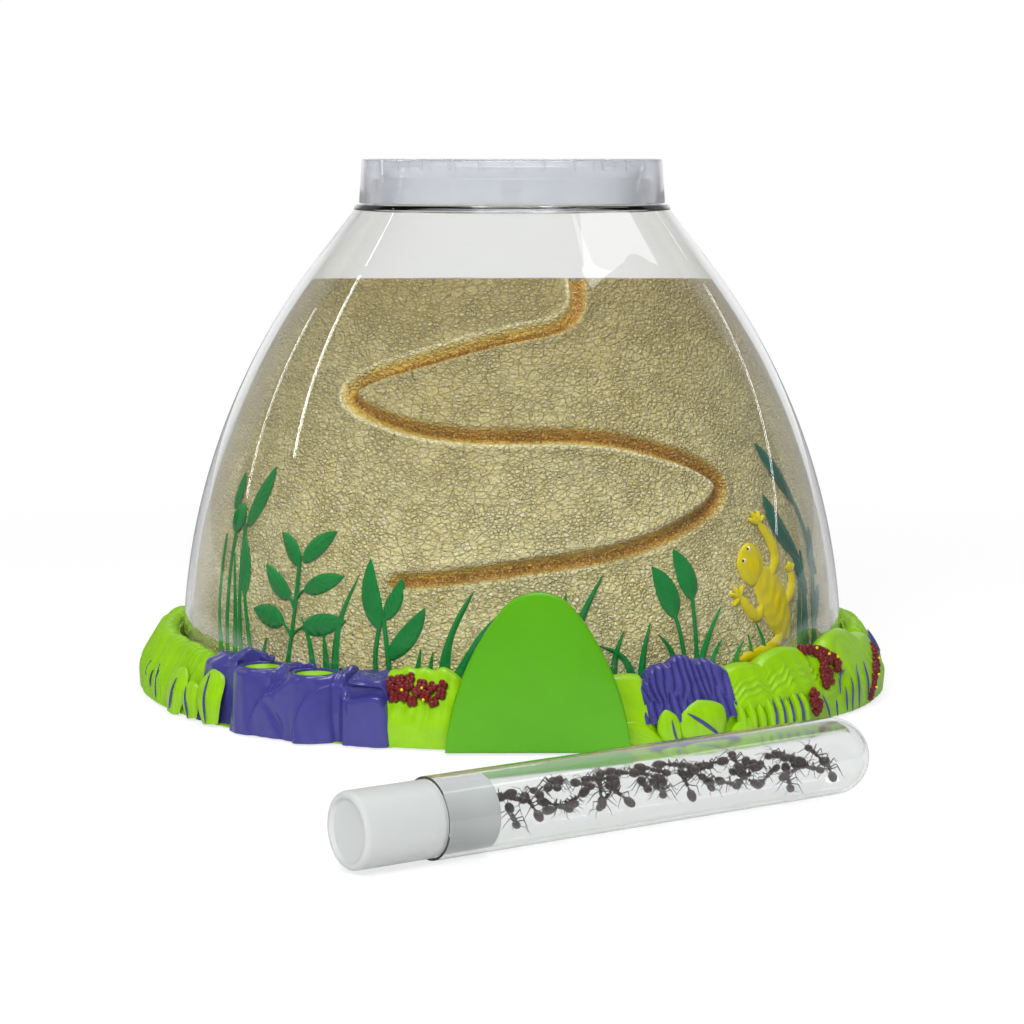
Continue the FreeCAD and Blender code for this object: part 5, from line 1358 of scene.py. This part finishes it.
def stopper_skins(steps):
    """Stopper: a hollow knob with fine grips and a drafted plug that sits in the tube."""
    outline = soften([(1.1, 0.05), (1.1, 8.6), (0.0, 9.4), (0.0, 10.5), (1.2, 11.2),
                      (25.6, 11.2), (26.4, 11.0), (26.4, 10.8), (44.6, 10.7), (44.6, 9.4),
                      (3.4, 9.2), (2.6, 8.2), (2.6, 0.05)],
                     [0.0, 0.4, 0.4, 0.5, 0.6, 0.5, 0.2, 0.2, 0.6, 0.5, 1.0, 0.5, 0.0])

    def grips(turn, place, radius):
        on_knob = (place > 2.0) & (place < 24.5) & (radius > 10.9)
        return np.where(on_knob, 0.30 * np.cos(48 * turn) ** 4, 0.0)
    return [along_tube(outline, max(steps, 384), grips)]


def bone(start, end, thick_start, thick_end):
    """One leg segment: a thin drafted rod between two points."""
    way = (end - start) / np.linalg.norm(end - start)
    other = np.cross(way, UP + 0.01)
    other = other / np.linalg.norm(other)
    third = np.cross(way, other)
    turn = all_round(5)
    ring = np.cos(turn)[:, None] * other + np.sin(turn)[:, None] * third
    return sheet_grid(np.stack([start + ring * thick_start, end + ring * thick_end]))


def ant_skins(centre, heading, tilt, length, gait):
    """One ant: head, three-part trunk, waist and gaster as balls, six jointed legs and two
    elbowed feelers as rods; gait shifts the legs."""
    ahead = (TUBE_WAY * math.cos(heading) + TUBE_SIDE * math.sin(heading)) * math.cos(tilt) \
        + UP * math.sin(tilt)
    side = np.cross(UP, ahead)
    side = side / np.linalg.norm(side)
    up = np.cross(ahead, side)
    axes = np.stack([ahead, side, up])
    unit = length / 9.0

    def spot(x, y, z):
        return centre + (x * ahead + y * side + z * up) * unit

    parts = ((3.3, 0, 0.1, 1.15, 1.05, 0.85), (1.5, 0, 0.25, 1.05, 0.6, 0.62),
             (0.1, 0, 0.2, 0.8, 0.48, 0.5), (-1.05, 0, 0.2, 0.32, 0.3, 0.42),
             (-2.9, 0, 0.15, 1.65, 1.12, 1.05))
    skins = [ball(spot(x, y, z), np.array((a, b, c)) * unit, axes=axes, rings=8, steps=12)
             for x, y, z, a, b, c in parts]
    for number, (root, reach) in enumerate(((1.7, 1.9), (0.9, 0.2), (0.1, -1.9))):
        for hand in (-1, 1):
            swing = 0.5 * math.sin(gait + 2.1 * number + 1.3 * hand)
            hip = spot(root, 0.35 * hand, 0.0)
            knee = spot(root + 0.45 * reach + swing, 1.75 * hand, 1.25)
            ankle = spot(root + 1.0 * reach + swing, 3.1 * hand, -0.9)
            toe = spot(root + 1.35 * reach + swing, 3.7 * hand, -1.05)
            skins += [bone(hip, knee, 0.16 * unit, 0.13 * unit),
                      bone(knee, ankle, 0.12 * unit, 0.07 * unit),
                      bone(ankle, toe, 0.06 * unit, 0.04 * unit)]
    for hand in (-1, 1):
        root = spot(4.1, 0.35 * hand, 0.3)
        elbow = spot(5.0, (1.2 + 0.3 * math.sin(gait)) * hand, 1.0)
        tip = spot(6.3, (1.9 + 0.5 * math.cos(gait)) * hand, 0.5)
        skins += [bone(root, elbow, 0.08 * unit, 0.07 * unit),
                  bone(elbow, tip, 0.07 * unit, 0.05 * unit)]
    return skins


ANTS = 44
ANT_PLACES = (46.5, 184.5)  # how far along the tube ants may reach
ANT_LIMIT = 10.3  # how far from the axis


def all_ants(length):
    """Forty-four ants in two jumbled rows: places, headings and tilts come from sines of the
    ant's number, and each is held inside the tube's bore."""
    skins = []
    number = np.arange(ANTS)
    place = 53.0 + 122.0 * (number // 2 + 0.5 * (number % 2)) / (ANTS / 2) \
        + 2.2 * np.sin(5.3 * number)
    row = number % 2
    across = np.where(row == 0, 2.6, -2.4) + 1.8 * np.sin(3.1 * number)
    level = np.where(row == 0, 2.2, -2.0) + 1.2 * np.sin(2.3 * number + 1.0) \
        + 1.5 * np.sin(0.045 * (place - 60.0))
    headings = 2.4 * np.sin(2.9 * number) + np.where(np.sin(7.1 * number) > 0, 0.0, math.pi)
    tilts = 0.9 * np.sin(4.7 * number) * np.abs(np.sin(1.3 * number))
    for one in number:
        centre = TUBE_START + TUBE_WAY * place[one] + TUBE_SIDE * across[one] + UP * level[one]
        skins += ant_skins(centre, headings[one], tilts[one], length, 1.7 * one)
    return [held_in_bore(skin) for skin in skins]


def held_in_bore(skin):
    """A skin pressed inward where it would leave the tube's bore: beyond a limit, its distance
    from the axis grows no more, and near the round end it keeps short of the wall."""
    verts, quads, tris = skin
    local = verts - TUBE_START
    place = np.clip(local @ TUBE_WAY, *ANT_PLACES)
    side, up = local @ TUBE_SIDE, local @ UP
    away = np.hypot(side, up)
    beyond = np.clip(place - BALL_END, 0.0, None)
    limit = np.sqrt(np.clip(ANT_LIMIT ** 2 - beyond ** 2, 4.0, None))
    shrink = np.minimum(1.0, limit / np.maximum(away, 0.01))
    moved = (TUBE_START + place[:, None] * TUBE_WAY + (side * shrink)[:, None] * TUBE_SIDE
             + (up * shrink)[:, None] * UP)
    return moved, quads, tris


# ---------------------------------------------------------------- operators


PALETTE = {}


def material(role):
    """The material of a role, made on first use."""
    if role not in PALETTE:
        PALETTE[role] = RECIPES[role]()
    return PALETTE[role]


RECIPES = {
    "clear": lambda: clear_plastic("Clear polystyrene, moulded", "#FAFBFB", 0.012),
    "clear_tube": lambda: clear_plastic("Clear acrylic, blown", "#F4F5F5", 0.05, 1.49, 0.985),
    "milky": frosted_plastic,
    "sand": sand_skin,
    "ring": lambda: moulded_plastic("Green ABS, moulded", colours().ring, "#76AA00", 0.36),
    "grass": lambda: moulded_plastic("Grass-green ABS, moulded", "#8ABE00", "#6FA200", 0.40),
    "leaf": lambda: painted_leaf("Green enamel over ABS", colours().leaf, "#006A2A"),
    "teal": lambda: painted_leaf("Teal enamel over PVC", "#1E6A58", "#14503F", 0.12),
    "rock": lambda: moulded_plastic("Purple ABS, moulded", colours().rock, "#353474", 0.22,
                                    0.0003, 0.009, 0.4),
    "fern": lambda: moulded_plastic("Dark purple ABS, moulded", "#45438A", "#343270", 0.28),
    "berry": lambda: painted_leaf("Red enamel over ABS", colours().berry, "#541416", 0.0),
    "gecko": lambda: moulded_plastic("Yellow ABS, moulded", colours().gecko, "#C6B400", 0.3,
                                     0.0004, 0.004),
    "shield": lambda: moulded_plastic("Mid-green ABS, moulded", colours().shield, "#489200", 0.30,
                                      0.00008, 0.03, 0.2),
    "lid": lambda: clear_plastic("Hazy polystyrene, moulded", "#F6F7FA", 0.10, clear=0.88),
    "yellow": lambda: moulded_plastic("Yellow enamel over ABS", "#E0C81A", "#C8A810", 0.3),
    "white": lambda: moulded_plastic("White enamel over ABS", "#F2F2EE", "#E2E2DC", 0.25),
    "black": lambda: moulded_plastic("Black enamel over ABS", "#101010", "#080808", 0.2),
    "pan": lambda: moulded_plastic("Sand ABS, moulded", "#D3C695", "#C4B683", 0.45),
    "steel": lambda: cloudy("Zinc-plated steel", "#A9ABAF", "#D5D7DA", 0.001, 0.32, Metallic=1.0),
    "ant": lambda: cloudy("Ant chitin", "#150B0A", "#3C221E", 0.003, 0.3, IOR=1.5),
}


class HABITAT_OT_clear(bpy.types.Operator):
    """Dome and tube walls of clear plastic"""
    bl_idname = "habitat.clear"
    bl_label = "Dome and tube"

    def execute(self, context):
        steps = sizes().steps_round
        make_piece("dome_shell", [dome_skin(steps)], "clear", "habitat",
                   ["clear_dome"], 40)
        make_piece("tube_shell", tube_skins(steps // 2), "clear_tube", "tube",
                   ["ant_tube"], 40)
        return {"FINISHED"}


class HABITAT_OT_lid(bpy.types.Operator):
    """Vent lid with its ribs"""
    bl_idname = "habitat.lid"
    bl_label = "Vent lid"

    def execute(self, context):
        make_piece("lid", lid_skins(sizes().steps_round), "lid", "lid",
                   ["vent_lid"], 35)
        return {"FINISHED"}


class HABITAT_OT_mountain(bpy.types.Operator):
    """Sand mountain with its ant path"""
    bl_idname = "habitat.mountain"
    bl_label = "Sand mountain"

    def execute(self, context):
        skin, marks = mountain_skin(sizes().path_width, sizes().path_depth)
        make_piece("sand_core", [skin], "sand", "habitat",
                   ["sand_mountain"], None, marks)
        return {"FINISHED"}


class HABITAT_OT_plants(bpy.types.Operator):
    """Painted plants on the mountain"""
    bl_idname = "habitat.plants"
    bl_label = "Mountain plants"

    def execute(self, context):
        thick = sizes().leaf_thick
        for name, skins, node in (
                ("sprig", sprig_skins(thick), "leafy_sprig"),
                ("twin_leaves", twin_skins(thick), "twin_leaf_plant"),
                ("reeds", reed_skins(thick), "left_reeds"),
                ("hill_grass", grass_skins(), "grass_blades"),
                ("bulb_leaves", bulb_skins(thick), "bulb_plant")):
            make_piece(name, skins, "leaf", "habitat", [node], 50)
        make_piece("palm", palm_skins(thick), "teal", "habitat",
                   ["palm_leaves"], 50)
        return {"FINISHED"}


class HABITAT_OT_gecko(bpy.types.Operator):
    """Gecko and its eyes"""
    bl_idname = "habitat.gecko"
    bl_label = "Gecko"

    def execute(self, context):
        make_piece("gecko_body", gecko_skins(), "gecko", "habitat",
                   ["gecko"], 60)
        make_piece("gecko_eye_whites", eye_skins(1.3, 0.45, False), "white", "habitat",
                   ["gecko_eyes"])
        make_piece("gecko_pupils", eye_skins(0.62, 0.9, True), "black", "habitat")
        return {"FINISHED"}


class HABITAT_OT_ring(bpy.types.Operator):
    """Green base ring, its combed grass, leaves and shrubs"""
    bl_idname = "habitat.ring"
    bl_label = "Base ring"

    def execute(self, context):
        make_piece("ring_bank", [ring_skin()], "ring", "habitat",
                   ["base_ring"], 55)
        make_piece("combed_grass", grass_bank_skins(), "grass", "habitat",
                   ["grass_bank"], 60)
        make_piece("ring_leaves", bank_leaf_skins(), "ring", "habitat",
                   ["bank_leaves"], 60)
        make_piece("shrubs", shrub_skins(), "ring", "habitat",
                   ["green_shrubs"], 60)
        make_piece("leaf_veins", vein_skins(), "fern", "habitat")
        return {"FINISHED"}


class HABITAT_OT_rock(bpy.types.Operator):
    """Purple rock with the two tube sockets, and the purple fern"""
    bl_idname = "habitat.rock"
    bl_label = "Rock and fern"

    def execute(self, context):
        make_piece("rock", rock_skins(), "rock", "habitat",
                   ["rock_outcrop"], 60)
        make_piece("socket_linings", lining_skins(), "ring", "habitat")
        make_piece("fern", fern_skins(), "fern", "habitat",
                   ["purple_fern"], 60)
        return {"FINISHED"}


class HABITAT_OT_berries(bpy.types.Operator):
    """Three clusters of red berries"""
    bl_idname = "habitat.berries"
    bl_label = "Berries"

    def execute(self, context):
        radius = sizes().berry_radius
        for name, spots, node in (("berries_left", FRONT_BERRIES, "front_berries"),
                                  ("berries_right", RIGHT_BERRIES, "right_berries"),
                                  ("berries_far", SIDE_BERRIES, "side_berries")):
            make_piece(name, berry_skins(spots, radius, 3.0, 4), "berry", "habitat",
                       [node])
        make_piece("berry_dots", berry_skins(BERRY_DOTS, 0.55, 3.2), "yellow",
                   "habitat")
        return {"FINISHED"}


class HABITAT_OT_shield(bpy.types.Operator):
    """Bare shield on the front"""
    bl_idname = "habitat.shield"
    bl_label = "Shield"

    def execute(self, context):
        make_piece("shield", shield_skins(), "shield", "habitat",
                   ["front_shield"], 50)
        return {"FINISHED"}


class HABITAT_OT_ants(bpy.types.Operator):
    """Tube stopper and the ants in the tube"""
    bl_idname = "habitat.ants"
    bl_label = "Stopper and ants"

    def execute(self, context):
        make_piece("stopper", stopper_skins(sizes().steps_round), "milky",
                   "stopper", ["tube_stopper"], 40)
        make_piece("ant_colony", all_ants(sizes().ant_length), "ant", "tube",
                   ["ants"], 60)
        return {"FINISHED"}


class HABITAT_OT_carried(bpy.types.Operator):
    """Materials for the floor pan and the screws, which keep their CAD shape"""
    bl_idname = "habitat.carried"
    bl_label = "Floor pan and screws"

    def execute(self, context):
        for node, role in (("floor_pan", "pan"), ("base_screws", "steel")):
            for slot in frame["nodes"][node].material_slots:
                slot.material = material(role)
        return {"FINISHED"}


# ---------------------------------------------------------------- the stage


def floor_paint():
    """A matt white floor. The camera and clear walls see part of it as plain white: three
    quarters under the object, where its shadow lies, and all of it farther out. Reflections
    see it dimmer, and it ends in front of the object as a studio floor does."""
    made, tree, output, where = start_material("Studio floor, painted")
    ray = add(tree, "LightPath").outputs
    passed = ray["Is Transmission Ray"]
    shiny = calc(tree, "MAXIMUM", ray["Is Glossy Ray"], passed)
    seen = calc(tree, "MAXIMUM", ray["Is Camera Ray"], shiny)
    away = add(tree, "VectorMath", {"operation": "LENGTH"}, in_0=where).outputs["Value"]
    share = calc(tree, "MULTIPLY", remap(tree, away, 0.32, 0.6, first=0.75), seen)
    back = add(tree, "SeparateXYZ", Vector=where).outputs["Y"]
    back = remap(tree, calc(tree, "DIVIDE", back, away), 0.30, 0.60)
    near = remap(tree, away, 0.34, 0.50, 1.0, 0.10)
    dim = blend_levels(tree, passed, 0.3, 1.0)
    level = calc(tree, "MULTIPLY", calc(tree, "MAXIMUM", near, back), dim)
    level = blend_levels(tree, shiny, 1.0, level)
    matt = add(tree, "BsdfDiffuse", Color=colour("#FFFFFF"))
    light = add(tree, "Emission", Color=(1.0, 1.0, 1.0, 1.0), Strength=level)
    mixed = add(tree, "MixShader", in_0=share, in_1=matt.outputs[0],
                in_2=light.outputs[0])
    tree.links.new(mixed.outputs[0], output.inputs[0])
    return made


def lamp(name, start, end, width, power, mirrored):
    """A softbox as wide as told between two ends in metres, turned to the object; mirrored says
    whether shiny surfaces show it."""
    start, end = Vector(start), Vector(end)
    data = bpy.data.lights.new(name, "AREA")
    data.shape = "RECTANGLE"
    data.size, data.size_y, data.energy = (end - start).length, width, power
    made = bpy.data.objects.new(name, data)
    bpy.context.scene.collection.objects.link(made)
    along = (end - start).normalized()
    back = (start + end) / 2 - Vector((0.0, 0.0, 0.09))
    back = (back - back.dot(along) * along).normalized()
    turn = Matrix((along, back.cross(along), back)).transposed()
    made.matrix_world = Matrix.Translation((start + end) / 2) @ turn.to_4x4()
    made.visible_glossy = made.visible_transmission = mirrored


def world_light(given, front, side):
    """World: white to the camera, given to matt surfaces. Reflections and what is seen through
    a clear wall get white from behind the object, and a dim room from beside and in front."""
    world = bpy.data.worlds.new("Studio")
    bpy.context.scene.world = world
    world.use_nodes = True
    tree = world.node_tree
    tree.nodes.clear()
    ray = add(tree, "LightPath").outputs
    way = add(tree, "SeparateXYZ", Vector=add(tree, "TexCoord").outputs["Generated"])
    beside = remap(tree, way.outputs["Y"], 0.53, 0.60, front, side)
    behind = remap(tree, way.outputs["Y"], 0.84, 0.93, last=1.0 - side)
    behind = calc(tree, "ADD", beside, behind)
    shiny = calc(tree, "MAXIMUM", ray["Is Glossy Ray"], ray["Is Transmission Ray"])
    through = calc(tree, "MAXIMUM", behind, given)
    behind = blend_levels(tree, ray["Is Transmission Ray"], behind, through)
    level = blend_levels(tree, shiny, given, behind)
    level = blend_levels(tree, ray["Is Camera Ray"], level, 1.0)
    light = add(tree, "Background", Color=(1.0, 1.0, 1.0, 1.0), Strength=level)
    output = add(tree, "OutputWorld")
    tree.links.new(light.outputs[0], output.inputs[0])


def blend_levels(tree, factor, first, second):
    """Mix of two numbers by a factor."""
    return add(tree, "Mix", in_0=factor, in_2=first, in_3=second).outputs[0]


WORLD_LEVELS = (0.24, 0.06, 0.40)  # light on matt surfaces; mirrored in front and beside
LAMPS = (  # name, two ends in metres, width, power, whether shiny surfaces show it
    ("front_light", (-1.0, -1.55, 1.15), (0.4, -1.65, 1.15), 0.7, 38.0, False),
    ("top_light", (-0.35, 0.05, 1.35), (0.45, 0.05, 1.35), 0.5, 7.0, True),
    ("right_light", (0.60, -0.29, 1.27), (0.84, 0.44, 0.96), 0.10, 0.55, True),
    ("left_strip", (-0.90, 0.40, 0.92), (-1.19, 0.05, 0.50), 0.012, 0.35, True),
    ("far_left_strip", (-0.89, 0.66, 0.66), (-1.13, 0.45, 0.26), 0.006, 0.12, True),
    ("far_right_strip", (0.80, 0.86, 0.62), (1.23, 0.34, 0.20), 0.006, 0.12, True))
CAMERA_PLACE, CAMERA_DOWN = (0.0, -1.065, 0.1968), 7.16  # metres, and degrees below level
CAMERA_LENS, CAMERA_SENSOR = 99.07, 36.0  # millimetres


class HABITAT_OT_stage(bpy.types.Operator):
    """White floor, softboxes and camera"""
    bl_idname = "habitat.stage"
    bl_label = "Stage"

    def execute(self, context):
        scene = context.scene
        scene.view_settings.view_transform = "Standard"
        bpy.ops.mesh.primitive_plane_add(size=60.0, location=(0.0, 0.0, -0.0004))
        floor = context.object
        floor.name = "floor"
        floor.data.materials.append(floor_paint())
        floor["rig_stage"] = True
        world_light(*WORLD_LEVELS)
        for one in LAMPS:
            lamp(*one)
        data = bpy.data.cameras.new("camera")
        data.lens, data.sensor_width = CAMERA_LENS, CAMERA_SENSOR
        camera = bpy.data.objects.new("camera", data)
        scene.collection.objects.link(camera)
        camera.location = CAMERA_PLACE
        camera.rotation_euler = (math.radians(90.0 - CAMERA_DOWN), 0.0, 0.0)
        scene.camera = camera
        return {"FINISHED"}


class HABITAT_PT_panel(bpy.types.Panel):
    """Sidebar panel with the sizes, the colours and one button for each group of pieces"""
    bl_idname = "HABITAT_PT_panel"
    bl_label = "Ant habitat"
    bl_space_type = "VIEW_3D"
    bl_region_type = "UI"
    bl_category = "Ant habitat"

    def draw(self, context):
        layout = self.layout
        for group in (sizes(), colours()):
            for name in group.__annotations__:
                layout.prop(group, name)
        for operator in OPERATORS:
            layout.operator(operator.bl_idname)


OPERATORS = (HABITAT_OT_clear, HABITAT_OT_lid, HABITAT_OT_mountain, HABITAT_OT_plants,
             HABITAT_OT_gecko, HABITAT_OT_ring, HABITAT_OT_rock, HABITAT_OT_berries,
             HABITAT_OT_shield, HABITAT_OT_ants, HABITAT_OT_carried, HABITAT_OT_stage)
CLASSES = (HabitatSizes, HabitatColours, *OPERATORS, HABITAT_PT_panel)


def register():
    """Adds the classes and the scene's settings."""
    for one in CLASSES:
        bpy.utils.register_class(one)
    bpy.types.Scene.habitat_sizes = bpy.props.PointerProperty(type=HabitatSizes)
    bpy.types.Scene.habitat_colours = bpy.props.PointerProperty(type=HabitatColours)


def unregister():
    """Takes the classes and the scene's settings away again."""
    del bpy.types.Scene.habitat_sizes, bpy.types.Scene.habitat_colours
    for one in reversed(CLASSES):
        bpy.utils.unregister_class(one)


def visual_box():
    """Lowest and highest corner of what is shown at rest, in metres."""
    corners = []
    for piece in bpy.context.scene.objects:
        replaced = piece.get("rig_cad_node") and piece.hide_render
        if (piece.type == "MESH" and piece.get("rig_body") and not piece.get("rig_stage")
                and not replaced):
            verts = np.zeros(len(piece.data.vertices) * 3, np.float32)
            piece.data.vertices.foreach_get("co", verts)
            verts = verts.reshape(-1, 3)
            corners += [verts.min(axis=0), verts.max(axis=0)]
    corners = np.array(corners)
    return [[float(v) for v in corners.min(axis=0)], [float(v) for v in corners.max(axis=0)]]


def main():
    """Builds every piece and the stage."""
    register()
    for operator in OPERATORS:
        getattr(bpy.ops.habitat, operator.bl_idname.split(".")[1])()
    {"cad": CAD_BOX, "visual": visual_box()}


if __name__ == "__main__":
    main()
